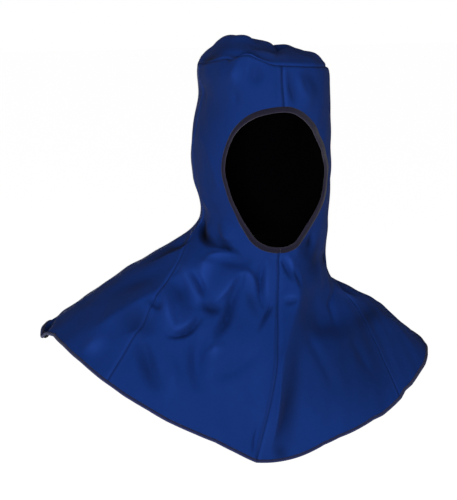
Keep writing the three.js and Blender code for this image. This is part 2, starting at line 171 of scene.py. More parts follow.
# How far the hem stands above the lowest section, in levels, by angle from the front
HEM_RISE = (
    (-120, 0.0), (-84, 0.0), (-76, 0.03), (-72, 0.14), (-64, 0.11), (-56, 0.06), (-48, -0.01),
    (-40, -0.05), (-28, -0.04), (-20, 0.02), (-14, 0.05), (-8, 0.02), (0, -0.06), (8, 0.01),
    (16, 0.08), (24, 0.16), (30, 0.16), (36, 0.11), (44, 0.05), (48, -0.02), (57, -0.08),
    (60, -0.05), (64, -0.1), (76, -0.1), (84, -0.04), (100, 0.0),
)

# The level of the crown seam by angle from the front
CROWN_SEAM_COURSE = (
    (-180, 10.0), (-130, 9.7), (-110, 9.3), (-90, 9.45), (-73, 9.65), (-57, 10.0), (-48, 10.25),
    (-40, 10.2), (-34, 10.1), (-28, 10.0), (-20, 10.0), (-10, 10.05), (0, 10.03), (8, 10.02),
    (17, 9.97), (31, 9.9), (54, 9.92), (90, 9.95), (180, 10.0),
)

# Slow waves of stiff worn cotton: turns per millimetre along each axis, and shifts
WAVE_RATES = np.array(
    [
        [0.090, 0.031, 0.067],
        [-0.052, 0.101, 0.088],
        [0.143, -0.074, 0.049],
        [0.037, 0.162, -0.121],
        [-0.171, 0.068, 0.139],
        [0.214, 0.119, -0.083],
    ]
)
WAVE_SHIFTS = np.array([0.4, 1.9, 3.1, 4.4, 5.2, 0.9])

# Shade values in the tables below darken folds with painted shade; negative ones lighten crests with painted
# highlights
# Folds round the crown and forehead
CROWN_FOLDS = (
    Fold("crown_gather", ((-45, 9.7), (-31, 10), (-19, 10), (-3, 9.8)), 9, 3, sag=-12),
    Fold("crown_gather_shade", ((-57, 10.5), (-36, 10.7), (-20, 10.6)), 8, -4),
    Fold("crown_corner", ((-108, 9.5), (-90, 9.75), (-72, 10.05), (-54, 10.4)), 7, -3, shade=0.7),
    Fold("lid_dusk", ((-99, 10), (-75, 10.5), (-58, 10.8), (-42, 11.2)), 12, 0, shade=0.25),
    Fold("lid_valley", ((-6, 10.5), (20, 12.3), (150, 12), (158, 11)), 9, -16, peak=0.75),
    # Painted highlight on the front of the lid
    Fold("lid_highlight", ((-28, 11.6), (-8, 11.2), (12, 10.8)), 14, 2, shade=-0.6),
    Fold("lid_peak", ((-118, 11), (-98, 11.6), (-70, 12.4)), 16, 3),
    Fold("lid_ridge", ((-84, 11.6), (-62, 12.1), (-40, 12.5)), 14, 5),
    Fold("lid_bump", ((142, 11.1), (126, 11.6), (106, 11.7)), 11, 2.5),
    Fold("lid_right", ((84, 11.2), (66, 10.7), (40, 10.4)), 11, 3, shade=-0.6),
    Fold("lid_corner_low", ((-124, 10), (-115, 10.5), (-108, 11)), 9, -4),
    Fold("forehead_dent", ((-25, 9.5), (-20, 9.3), (-13, 9)), 12, -7, shade=0.12),
    Fold("forehead_lobe", ((-37, 9.7), (-35, 9.2), (-37, 8.6)), 9, 5, shade=-0.3),
    Fold("forehead_band", ((-8, 9.9), (-8, 8.8), (-10, 8.1)), 9, 3),
    Fold("forehead_groove", ((6, 9.8), (6, 8.7), (9, 8)), 6, -4, 1.7, 0.6, lean=0.3, shade=0.35),
    Fold("forehead_wedge", ((9, 9.6), (12, 9), (15, 8.5), (23, 7.9)), 8, 4, lean=-0.2, shade=-0.2),
    Fold("forehead_edge", ((16, 9.8), (24, 8.9), (29, 8.2)), 8, -2, shade=0.3),
    Fold("temple_dent", ((-34, 8.6), (-35, 8.3), (-36, 8)), 5, -2),
    Fold("temple_ridge", ((-98, 7.6), (-65, 6.9), (-54, 6.2), (-54, 5.6)), 8, 2, 1.6),
    Fold("temple_hollow", ((-120, 8), (-90, 8.3), (-76, 8)), 9, -4),
)

# Folds round the jaw and neck
NECK_FOLDS = (
    Fold("nape_ridge", ((-89, 5.8), (-78, 5.5), (-65, 5)), 12, 5, 1.6),
    Fold("jaw_pocket", ((-96, 4.55), (-88, 4.4), (-74, 4.05), (-62, 3.95), (-51, 4)),
         6, -9, 2.4, push=9, lean=0.1, shade=1),
    Fold("jaw_tuck", ((-66, 4), (-55, 4), (-45, 4.15), (-36, 4.2), (-28, 4.1)), 3, -6, peak=0.55, shade=0.5),
    Fold("jaw_lip", ((-60, 4.25), (-47, 4.3), (-36, 4.4)), 7, 0, shade=0.5),
    Fold("jaw_overhang", ((-56, 5.15), (-49, 4.85), (-41, 4.65), (-33, 4.45)), 10, 8, sag=4),
    Fold("under_jaw_ridge", ((-54, 3.4), (-51, 3.65), (-44, 3.9), (-34, 4.1)),
         4.2, 6, 1.7, sag=2, lean=-0.2, shade=-0.6),
    Fold("under_chin_hollow", ((-46, 3.6), (-38, 3.8), (-27, 4), (-15, 4.3)), 8, -6, shade=0.2),
    Fold("left_neck_pinch", ((68, 3.9), (48, 4.1), (28, 4.1)), 11, -4, peak=0.4),
    Fold("left_neck_crease", ((28, 5), (29, 4.75), (28, 4.5)), 4, -3, 1.7, shade=0.5),
    Fold("left_neck_shade", ((20, 5), (24, 4.6), (19, 4)), 11, -3, 3, shade=0.35),
    Fold("left_neck_dusk", ((32, 4.9), (32, 4.1), (30, 3.2)), 16, 0, 3, shade=0.5),
    Fold("left_neck_notch", ((60, 4.3), (63, 4), (54, 3.8)), 6, -3, shade=0.9),
    Fold("neck_side_crease", ((72, 3), (47, 2.7), (43, 2.4), (39, 2)), 4, -4, 1.7, shade=0.15),
    Fold("centre_slit", ((-12, 4.3), (-12, 3.4), (-8, 2.8)), 5, -9, 1.7, lean=-0.4, shade=0.1),
    Fold("centre_band", ((-9, 4.3), (-8, 3.5), (-5, 2.9)), 6, 4, 1.7, lean=0.4, shade=-0.5),
    Fold("chin_crease", ((0, 4.4), (6, 4), (10, 3.4)), 4, -7, 1.7, shade=0.35),
    Fold("chin_facet", ((4, 4.5), (8, 4.2), (10, 3.8)), 6, 4, 1.7, shade=-0.7),
    Fold("keel_crease", ((10, 4.1), (13, 3.6), (13, 3.2)), 4, -4, shade=0.25),
    Fold("keel_top", ((20, 4.6), (12, 4.2), (10, 3.8), (12, 3.4), (12, 3), (10, 2.7), (6, 2.3), (4, 1.9)),
         17, 14, 1.4, 0.45, lean=0.15),
    Fold("keel_pucker", ((2, 3.1), (7, 3.15), (12, 3.05)), 4, 4, 1.7, sag=3, lean=0.3, shade=-0.4),
    Fold("keel_tuck", ((3, 3), (8, 2.95), (12, 3)), 3, -3, shade=0.35),
)

# Folds of the right half of the cape's front
RIGHT_CAPE_FOLDS = (
    Fold("zigzag_left", ((-67, 2.7), (-61, 2.95), (-52, 2.75), (-43, 2.55), (-36, 2.55)),
         11, 13, 1.6, 0.55, sag=6, shade=-0.7),
    Fold("zigzag_right", ((-41, 2.5), (-35, 2.65), (-32, 3), (-29, 3.5), (-24, 3.7)),
         10, 13, 1.6, sag=6, lean=0.5, shade=-0.5),
    Fold("apex_ridge", ((-28, 3.5), (-24, 3.7), (-19, 3.6), (-13, 3.25), (-10, 2.9)),
         8, 7, 1.7, 0.4, lean=-0.3, shade=-0.4),
    Fold("apex_shade", ((-20, 3.3), (-16, 3), (-11, 2.6)), 6, -3, shade=0.25),
    Fold("chest_slit", ((-56, 3), (-47, 2.9), (-38, 2.55)), 5, -9, 1.7, 0.6, lean=-0.4, shade=0.3),
    Fold("chest_facet", ((-53, 3.55), (-48, 3.1), (-40, 2.6)), 10, 5, 1.7, 0.3, lean=0.2, shade=-0.9),
    Fold("chest_valley", ((-25, 3.5), (-27, 2.95), (-26, 2.45), (-27, 2.1), (-29, 1.85)),
         6, -11, 1.7, shade=0.35),
    Fold("chest_wedge", ((-42, 2.5), (-35, 2.5), (-29, 2.4)), 10, -8, peak=0.45, shade=0.5),
    Fold("smile_bulge", ((-47, 1.8), (-43, 1.7), (-41, 1.85), (-40, 2.05), (-40, 2.3)),
         10, 10, 1.7, sag=5, lean=0.45, shade=-0.4),
    Fold("smile", ((-37, 2.3), (-37, 2.05), (-38, 1.8), (-41, 1.6), (-45, 1.5)), 4.5, -9, shade=0.45),
    Fold("seam_pillar", ((-60, 2.4), (-52, 2.05), (-46, 1.8), (-41, 1.75)), 9, 9, 1.7, shade=-0.5),
    Fold("outer_hollow", ((-59, 2.7), (-51, 2.5), (-42, 2.15)), 12, -8, shade=0.35),
    Fold("seam_pucker", ((-59, 1.9), (-55, 1.9), (-51, 1.85)), 5, -6, shade=0.4),
    Fold("centre_crease", ((-3, 3), (-5, 2.8), (-8, 2.5), (-11, 2.2)), 2.6, -5, 1.7, 0.4, shade=0.4),
    Fold("shoulder_back", ((-84, 3.8), (-81, 3.4), (-85, 2.9), (-90, 2.35)),
         15, -4, 3, lean=-0.5, shade=0.65),
    Fold("shoulder_dip", ((-82, 3.6), (-93, 3.35), (-108, 3.1)), 11, -7),
    Fold("shoulder_ridge", ((-59, 2.5), (-60, 1.8), (-62, 1.2), (-63, 0.2)), 20, 13, 1.4),
    Fold("shoulder_band", ((-65, 2.7), (-71, 2.3), (-75, 1.85), (-77, 1.35)), 17, -4, shade=0.3),
    Fold("seam_hollow", ((-65, 1.15), (-58, 1.4), (-53, 1.4), (-49, 1.2)), 18, -7, shade=0.4),
    Fold("hem_facet", ((-58, 0.9), (-58, 0.5), (-56, 0.2)), 12, 5, shade=-0.5),
    Fold("cape_valley_outer", ((-52, 1.3), (-45, 1), (-39, 0.7), (-32, 0.4)), 10, -11, lean=-0.2, shade=0.3),
    Fold("cape_ridge_outer", ((-40, 1.3), (-34, 0.9), (-30, 0.5)), 9, 4),
    Fold("cape_valley_inner", ((-34, 2), (-32, 1.6), (-28, 1.2), (-24, 0.8)), 11, -12, shade=0.05),
    Fold("cape_bump", ((-28, 1.7), (-26, 1.7), (-22, 1.9)), 8, 5, shade=-0.4),
    Fold("cape_dent", ((-24, 1.2), (-18, 1.4), (-13, 1.7), (-6, 1.9)), 9, -5, shade=0.05),
    Fold("tip_slit", ((-2, 0.8), (-2, 0.4), (-1, 0)), 4.5, -5, 1.7, 0.6, lean=0.2),
    Fold("tip_hook", ((-96, 0.3), (-86, 0.15), (-76, 0)), 10, 0, sag=19, shade=1),
)

# Folds of the left half of the cape's front
LEFT_CAPE_FOLDS = (
    Fold("keel", ((13, 3.2), (8, 2.5), (4, 2), (2, 1.6), (3, 1.1), (4, 0.6), (4, 0)),
         24, 22, 1.1, 0.45, lean=0.15),
    Fold("keel_low", ((5, 2.1), (3, 1.5), (3, 1), (4, 0.6), (4, 0.1)), 12, 9, 1.3, 0.6),
    Fold("keel_hollow", ((8, 1.5), (8, 1), (7, 0.5), (6, 0.1)), 11, -9, shade=0.15),
    Fold("keel_side", ((16, 2.8), (10, 2.1), (9, 1.5), (9, 1), (9, 0.5), (10, -0.2)), 12, 0, shade=0.45),
    Fold("tip_dusk", ((4, 0.1), (11, 0.2)), 12, 0, shade=0.4),
    Fold("left_plane", ((54, 3.4), (56, 2.3), (62, 1.1), (64, -1)), 62, 0, peak=0.6, push=26),
    Fold("left_hollow", ((16, 3.2), (31, 2.4), (38, 1.7)), 42, -15),
    Fold("left_crease_cape", ((17, 2.3), (24, 1.6), (33, 0.7)), 9, -4, 1.6, 0.4),
    Fold("left_crease_side", ((43, 1.75), (46, 1.2), (49, 0.55)), 9, -3, 1.6),
    Fold("left_dusk", ((38, 2.4), (41, 1.6), (36, 0.9), (28, 0.2)), 62, 0, 6, shade=0.26),
    Fold("left_band", ((6, 2.8), (24, 2.5), (44, 2), (60, 1.7)), 20, -3, shade=0.24),
    Fold("left_shoulder_dusk", ((46, 1.85), (60, 1.65), (72, 1.6), (86, 1.6)), 13, 0, shade=0.5),
    # Painted highlight on the left shoulder
    Fold("left_shoulder_highlight", ((58, 3), (64, 2.5), (74, 2)), 16, 0, shade=-0.9),
    Fold("left_shoulder_ridge", ((72, 2.4), (94, 1.6), (98, 1.1), (92, 0.6)), 15, 5),
    Fold("left_shoulder_dip", ((100, 2.7), (82, 2.5), (66, 2.4)), 11, -6),
)

# Folds of the back
BACK_FOLDS = (
    Fold("hem_tip_dip", ((-122, 0.8), (-112, 0.3), (-106, -0.2)), 20, -9, peak=0.7),
    Fold("nape_tuck", ((140, 4.3), (180, 4.15), (225, 4.3)), 12, -8),
    Fold("nape_roll", ((145, 4.9), (180, 4.75), (215, 4.9)), 13, 5),
    Fold("back_valley_left", ((140, 3.2), (136, 1.8), (130, 0.2)), 22, -10, peak=0.6),
    Fold("back_ridge", ((176, 3.4), (180, 1.8), (184, 0)), 24, 8, 1.6, 0.6),
    Fold("back_valley_right", ((212, 3.2), (216, 1.8), (222, 0.2)), 22, -10, peak=0.6),
)

FOLDS = CROWN_FOLDS + NECK_FOLDS + RIGHT_CAPE_FOLDS + LEFT_CAPE_FOLDS + BACK_FOLDS

# The CAD node that each piece stands for
STANDS_FOR = {
    "cloth_front_right": "front_panel_right",
    "cloth_front_left": "front_panel_left",
    "cloth_back_right": "back_panel_right",
    "cloth_back_left": "back_panel_left",
    "cloth_crown": "crown_panel",
    "tape_face": "face_binding",
    "tape_hem": "hem_binding",
}


def unit(vectors: Array) -> Array:
    """Scales vectors to a length of 1."""
    return vectors / np.maximum(np.linalg.norm(vectors, axis=-1, keepdims=True), TINY)


def bell(distance: Array, width: float) -> Array:
    """Gives a share that falls from 1 at no distance to nearly 0 at two widths."""
    return np.exp(-((distance / width) ** 2))


def smooth_rows(rows: Array, position: Array) -> Array:
    """Reads a table between its rows on a smooth curve through them.

    Args:
        rows: table of values, one row for each whole position.
        position: row positions, whole or in between.

    Returns:
        One row of values for each position.
    """
    start = np.clip(np.floor(position).astype(int), 0, len(rows) - 2)
    part = (position - start)[..., None]
    longer = np.vstack([2 * rows[0] - rows[1], rows, 2 * rows[-1] - rows[-2]])
    before, here, after, beyond = (longer[start + step] for step in range(4))
    slope = after - before
    bend = 2 * before - 5 * here + 4 * after - beyond
    twist = 3 * here - before - 3 * after + beyond
    return 0.5 * (2 * here + slope * part + bend * part**2 + twist * part**3)


def smooth_values(values: tuple[float, ...], position: Array) -> Array:
    """Reads a smooth curve through some values at positions from 0 to the last."""
    return smooth_rows(np.array(values, float)[:, None], position)[..., 0]


def lengths_along(points: Array, axis: int) -> Array:
    """Measures how far each point of a grid lies along its row or column.

    Args:
        points: grid of points.
        axis: 0 to measure up the columns, 1 to measure along the rows.

    Returns:
        Distances from the first row or column, in the points' unit.
    """
    steps = np.linalg.norm(np.diff(points, axis=axis), axis=-1)
    start = np.zeros_like(np.take(points[..., 0], [0], axis=axis))
    return np.concatenate([start, np.cumsum(steps, axis=axis)], axis=axis)


def grid_normals(points: Array) -> Array:
    """Gives the outward normals of a grid whose rows climb and whose columns turn to the left."""
    return unit(np.cross(np.gradient(points, axis=1), np.gradient(points, axis=0)))


def area_of(points: Array) -> float:
    """Measures the area of a grid of points, from millimetres to square metres."""
    crossed = np.cross(points[1:, 1:] - points[:-1, :-1], points[1:, :-1] - points[:-1, 1:])
    return float(0.5 * np.linalg.norm(crossed, axis=-1).sum()) * METRES_PER_MM**2


def rim_corners(height: int, width: int) -> Array:
    """Gives the corner numbers round a grid, in the sense of its faces."""
    grid = np.arange(height * width).reshape(height, width)
    return np.concatenate([grid[0, :-1], grid[:-1, -1], grid[-1, :0:-1], grid[:0:-1, 0]])


def grid_quads(height: int, width: int, round_rows: bool = False, round_columns: bool = False) -> Array:
    """Gives the quads of a grid.

    Args:
        height: number of rows.
        width: number of columns.
        round_rows: whether the last column joins the first.
        round_columns: whether the last row joins the first.

    Returns:
        Rows of four corner numbers.
    """
    grid = np.arange(height * width).reshape(height, width)
    beside = np.roll(grid, -1, axis=1)
    quads = np.stack([grid, beside, np.roll(beside, -1, axis=0), np.roll(grid, -1, axis=0)], axis=-1)
    quads = quads if round_rows else quads[:, :-1]
    quads = quads if round_columns else quads[:-1]
    return quads.reshape(-1, 4)


def gathered_columns(count: int, gather: float) -> Array:
    """Gives shares from 0 to 1 that lie closer together near both ends."""
    even = np.linspace(0, 1, count + 1)
    return even - gather * np.sin(2 * np.pi * even) / (2 * np.pi)


@dataclass
class HoodShape:
    """The draped cloth as one surface of angle and level, in millimetres.

    Angles are degrees from the front, positive to the wearer's left. Levels count the sections upwards.
    """

    sections: tuple[Section, ...] = SECTIONS
    folds: tuple[Fold, ...] = FOLDS
    right_sweep: float = 2.2
    left_sweep: float = 2.8
    least_reach: float = 0.01
    turn_step: float = 0.3
    level_step: float = 0.02
    lid_top_level: float = 12.2
    lid_top_blend: float = 0.5
    fold_samples: int = 40
    fold_fade: float = 7.0
    fold_swell: float = 1.5
    level_samples: int = 400
    hem_blend: float = 0.9
    crown_blend: float = 1.3
    waviness: float = 0.22
    rows: Array = field(init=False)
    laid: list[Array] = field(init=False)

    def __post_init__(self) -> None:
        """Lays the sections out as a table and the folds on the plain surface."""
        self.rows = np.array([section.row() for section in self.sections], float)
        self.laid = [self.lay(fold) for fold in self.folds]

    def plain(self, angle: Array, level: Array) -> Array:
        """Gives points of the tailored surface before any fold.

        Args:
            angle: angles from the front in degrees.
            level: levels between the sections.

        Returns:
            Points in millimetres.
        """
        values = np.moveaxis(smooth_rows(self.rows, np.asarray(level, float)), -1, 0)
        front_height, left_height, back_height, right_height = values[:4]
        front, left, back, right = np.maximum(values[4:8], self.least_reach)
        centre_x, centre_y, square, twist = values[8:]
        turned = np.radians(angle + twist)
        sine = np.sin(turned)
        cosine = np.cos(turned)
        sideways = np.where(sine > 0, left, right)
        lengthways = np.where(cosine > 0, front, back)
        boxed = (np.abs(sine) / sideways) ** square + (np.abs(cosine) / lengthways) ** square
        radius = boxed ** (-1 / square)
        ahead = np.where(cosine > 0, front_height, back_height)
        aside = np.where(sine > 0, left_height, right_height)
        sweep = np.where(sine > 0, self.left_sweep, self.right_sweep)
        height = aside + (ahead - aside) * np.abs(cosine) ** sweep
        return np.stack([centre_x + radius * sine, centre_y - radius * cosine, height], axis=-1)

    def slopes(self, angle: Array, level: Array) -> tuple[Array, Array]:
        """Measures how the plain surface runs on.

        Args:
            angle: angles from the front in degrees.
            level: levels between the sections.

        Returns:
            Its run per degree and its run per level, in millimetres.
        """
        turn = self.turn_step
        climb = self.level_step
        across = self.plain(angle + turn, level) - self.plain(angle - turn, level)
        upwards = self.plain(angle, level + climb) - self.plain(angle, level - climb)
        return across / (2 * turn), upwards / (2 * climb)

    def plain_normal(self, angle: Array, level: Array) -> Array:
        """Gives the outward normals of the plain surface.

        Args:
            angle: angles from the front in degrees.
            level: levels between the sections.

        Returns:
            Normals, straight up in the middle of the lid.
        """
        normal = unit(np.cross(*self.slopes(angle, level)))
        middle = np.clip((level - self.lid_top_level) / self.lid_top_blend, 0, 1)[..., None]
        return unit(normal * (1 - middle) + np.array([0.0, 0.0, 1.0]) * middle)

    def lay(self, fold: Fold) -> Array:
        """Lays a fold's path on the plain surface as a chain of points."""
        stops = np.array(fold.path, float)
        return self.plain(*smooth_rows(stops, np.linspace(0, len(stops) - 1, self.fold_samples)).T)

    def fold_strength(self, fold: Fold, path: Array, points: Array, normals: Array) -> Array:
        """Measures how strongly a fold acts at some points.

        Args:
            fold: the fold.
            path: its chain of points.
            points: points of the plain surface, one row each.
            normals: outward normals of the plain surface there.

        Returns:
            A share from 0 to 1 for each point.
        """
        run = np.diff(path, axis=0)
        length_squared = np.maximum((run**2).sum(axis=1), TINY)
        offset = points[:, None, :] - path[None, :-1]
        part = np.clip((offset * run[None]).sum(axis=2) / length_squared, 0, 1)
        gap = np.linalg.norm(offset - part[..., None] * run[None], axis=2)
        nearest = gap.argmin(axis=1)
        index = np.arange(len(points))
        crossed = np.cross(run[nearest], offset[index, nearest])
        leftwards = np.sign((crossed * normals).sum(axis=1))
        width = fold.width * (1 + fold.lean * leftwards)
        along = (nearest + part[index, nearest]) / len(run)
        rise = np.where(along < fold.peak, along / fold.peak, (1 - along) / (1 - fold.peak))
        swell = np.sin(0.5 * np.pi * np.clip(rise, 0, 1)) ** self.fold_swell
        return swell * np.exp(-((gap[index, nearest] / width) ** fold.sharp))

    def waves(self, points: Array) -> Array:
        """Gives the slight unevenness of stiff worn cotton, in millimetres."""
        return self.waviness * np.sin(points @ WAVE_RATES.T + WAVE_SHIFTS).sum(axis=-1)

    def folded(self, angle: Array, level: Array) -> tuple[Array, Array]:
        """Folds the plain surface.

        Args:
            angle: angles from the front in degrees.
            level: levels between the sections.

        Returns:
            Points in millimetres and the painted shade of the cloth there, negative for painted highlights,
            in the same layout.
        """
        plain = self.plain(angle, level).reshape(-1, 3)
        normal = self.plain_normal(angle, level).reshape(-1, 3)
        lift = self.waves(plain)
        droop, pressed, shade = np.zeros((3, len(plain)))
        for fold, path in zip(self.folds, self.laid):
            reach = fold.width * (1 + abs(fold.lean)) * self.fold_fade ** (1 / fold.sharp)
            near = ((plain > path.min(axis=0) - reach) & (plain < path.max(axis=0) + reach)).all(axis=1)
            if not near.any():
                continue
            strength = self.fold_strength(fold, path, plain[near], normal[near])
            lift[near] += fold.depth * strength
            droop[near] += fold.sag * strength
            pressed[near] += fold.push * strength
            # Painted shade in the fold, and a painted highlight where the shade is negative
            shade[near] += fold.shade * strength
        points = plain + normal * lift[:, None]
        points[:, 1] += pressed
        points[:, 2] -= droop
        return points.reshape(*angle.shape, 3), shade.reshape(angle.shape)

    def cloth(self, angle: Array, level: Array) -> Array:
        """Gives points of the folded cloth, in the layout of the angles and levels."""
        return self.folded(angle, level)[0]

    def even_levels(self, angle: float, low: float, high: float, spacing: float) -> Array:
        """Gives levels that lie evenly along the plain surface at one angle.

        Args:
            angle: angle from the front in degrees.
            low: first level.
            high: last level.
            spacing: wanted distance between neighbours in millimetres.

        Returns:
            Levels from low to high.
        """
        fine = np.linspace(low, high, self.level_samples)
        points = self.plain(np.full_like(fine, angle), fine)
        along = lengths_along(points[:, None], 0)[:, 0]
        count = max(2, int(round(along[-1] / spacing)) + 1)
        return np.interp(np.linspace(0, along[-1], count), along, fine)

    def gap_angle(self, angle: Array, level: Array, gap: float) -> Array:
        """Gives the angle that a distance takes up along a level line."""
        return gap / np.maximum(np.linalg.norm(self.slopes(angle, level)[0], axis=-1), TINY)

    def sewn_level(self, angle: Array, level: Array) -> Array:
        """Moves levels near the hem and the crown seam onto their sewn courses.

        Args:
            angle: angles from the front in degrees.
            level: levels before sewing, 0 at the hem and 10 at the crown seam.

        Returns:
            The levels on the worn hood.
        """
        turned = (angle + 180) % 360 - 180
        rise = np.interp(turned, *np.array(HEM_RISE).T)
        course = np.interp(turned, *np.array(CROWN_SEAM_COURSE).T) - CROWN_SEAM_LEVEL
        near_hem = np.clip(1 - level / self.hem_blend, 0, 1)
        near_crown = np.clip(1 - np.abs(level - CROWN_SEAM_LEVEL) / self.crown_blend, 0, 1)
        return level + rise * near_hem + course * near_crown

    @staticmethod
    def seam_angle(side: Side, level: Array) -> Array:
        """Gives the unsigned angle of a side seam at some levels."""
        stops = np.interp(level, SEAM_LEVELS, np.arange(len(SEAM_LEVELS)))
        return smooth_values(SEAM_ANGLES[side], stops)


@dataclass(frozen=True)
class FaceOpening:
    """The egg-shaped face opening on the front of the surface, in millimetres.

    It is searched for between two levels, and its edge runs in turns from 0 at the chin to pi at the brow.
    """

    middle_height: float = -179.4
    half_height: float = 95.2
    lowest_level: float = 3.5
    highest_level: float = 9.0
    level_samples: int = 600

    def level(self, shape: HoodShape, turn: Array) -> Array:
        """Gives the level of the edge.

        Args:
            shape: the surface.
            turn: turns from the chin to the brow.

        Returns:
            One level for each turn.
        """
        fine = np.linspace(self.lowest_level, self.highest_level, self.level_samples)
        heights = shape.plain(np.zeros_like(fine), fine)[:, 2]
        return np.interp(self.middle_height - self.half_height * np.cos(turn), heights, fine)

    @staticmethod
    def angle(side: Side, turn: Array) -> Array:
        """Gives the unsigned angle of the edge on one side at some turns."""
        stops = FACE_ANGLES[side]
        return np.maximum(smooth_values(stops, turn / np.pi * (len(stops) - 1)), 0)


@dataclass(frozen=True)
class SeamStyle:
    """How cloth is pressed down along a seam, in millimetres."""

    gap: float = -0.5
    depth: float = 1.6
    width: float = 1.8
    puff: float = 0.35
    puff_at: float = 5.0
    puff_width: float = 2.6
    worn: float = 0.25
    wear_width: float = 5.0
    # Painted shade along each seam's groove, and how wide its line is
    dark: float = 0.6
    line_width: float = 1.0
    lap_width: float = 4.6
    lap_slope: float = 0.4
    lap_height: float = 0.5
    # How far the lapped band is darkened towards the shade colour
    lap_dark: float = 0.3

    def profile(self, distance: Array) -> Array:
        """Gives the lift of the cloth at a distance from the seam."""
        swell = self.puff * bell(distance - self.puff_at, self.puff_width)
        return swell - self.depth * bell(distance, self.width)

    def lap(self, distance: Array) -> Array:
        """Gives how far a point at a distance from a lapped seam lies on its band."""
        return 1 / (1 + np.exp((distance - self.lap_width) / self.lap_slope))

    def shares(self, distance: Array, shade: Array) -> dict[str, Array]:
        """Gives what the finish reads at some points of a panel.

        Args:
            distance: distances from the nearest seam.
            shade: painted shade of the folds, negative where their crests carry a painted highlight.

        Returns:
            Shares from 0 to 1 of worn seams with painted highlights, and of painted shade, by attribute
            name.
        """
        # Worn seams together with painted highlights on the crests of folds
        worn = np.maximum(self.worn * bell(distance, self.wear_width), -shade)
        # Painted shade along the seam's line and in the folds
        dark = np.maximum(self.dark * bell(distance, self.line_width), shade)
        return {WEAR_AND_HIGHLIGHT: np.clip(worn, 0, 1), SHADE: np.clip(dark, 0, 1)}


class NodeBench:
    """A node tree being wired. Values given to its nodes are sockets to link, numbers or colours."""

    def __init__(self, tree: NodeTree) -> None:
        """Takes a tree and clears it."""
        self.tree = tree
        self.tree.nodes.clear()

    def feed(self, target: NodeSocket, value: object) -> None:
        """Links an input to a socket, or sets its value.

        Args:
            target: the input.
            value: a socket, a number or a colour.
        """
        if isinstance(value, NodeSocket):
            self.tree.links.new(value, target)
        else:
            target.default_value = value

    def add(self, kind: str, **values: object) -> Node:
        """Adds a node.

        Args:
            kind: node type without its ShaderNode prefix.
            values: properties of the node, or what its inputs get, spaces in names given as underscores.

        Returns:
            The node.
        """
        node = self.tree.nodes.new(kind if kind.startswith("Node") else "ShaderNode" + kind)
        for name, value in values.items():
            if hasattr(node, name):
                setattr(node, name, value)
            else:
                self.feed(node.inputs[name.replace("_", " ")], value)
        return node

    def math(self, operation: str, *values: object) -> NodeSocket:
        """Adds a sum, product or other step.

        Args:
            operation: Blender's name of the step.
            values: what the step takes.

        Returns:
            The result's socket.
        """
        node = self.add("Math", operation=operation)
        for target, value in zip(node.inputs, values):
            self.feed(target, value)
        return node.outputs[0]

    def blend(self, share: NodeSocket, first: object, second: object) -> NodeSocket:
        """Mixes two colours.

        Args:
            share: how much of the second there is.
            first: a colour.
            second: another one.

        Returns:
            The mixed colour's socket.
        """
        node = self.add("Mix", data_type="RGBA", Factor=share)
        self.feed(node.inputs[MIX_FIRST_COLOUR], first)
        self.feed(node.inputs[MIX_SECOND_COLOUR], second)
        return node.outputs[MIX_COLOUR]

    def attribute(self, name: str) -> NodeSocket:
        """Reads a share that a piece's mesh holds."""
        return self.add("Attribute", attribute_name=name).outputs["Fac"]

    def cloth_map(self) -> NodeSocket:
        """Reads the place on the flat cloth, in metres."""
        return self.add("UVMap", uv_map=CLOTH_UV).outputs["UV"]

    def noise(self, place: NodeSocket, scale: object, detail: float, roughness: float) -> NodeSocket:
        """Adds a noise and gives its value."""
        node = self.add("TexNoise", Vector=place, Scale=scale, Detail=detail, Roughness=roughness)
        return node.outputs["Fac"]

    def spread(self, value: NodeSocket, low: float, high: float) -> NodeSocket:
        """Spreads a value from 0.3 to 0.7, where noises mostly lie, over a new range."""
        node = self.add("MapRange", Value=value, From_Min=0.3, From_Max=0.7, To_Min=low, To_Max=high)
        return node.outputs["Result"]

    def ribs(self, slant: float, turns: object) -> NodeSocket:
        """Adds a wave across slanted lines of the flat cloth.

        Args:
            slant: how far the lines shift sideways per length.
            turns: radians of the wave per metre.

        Returns:
            The wave's socket, from -1 to 1.
        """
        place = self.add("SeparateXYZ", Vector=self.cloth_map())
        shift = self.math("MULTIPLY", place.outputs["Y"], slant)
        across = self.math("ADD", place.outputs["X"], shift)
        return self.math("SINE", self.math("MULTIPLY", across, turns))


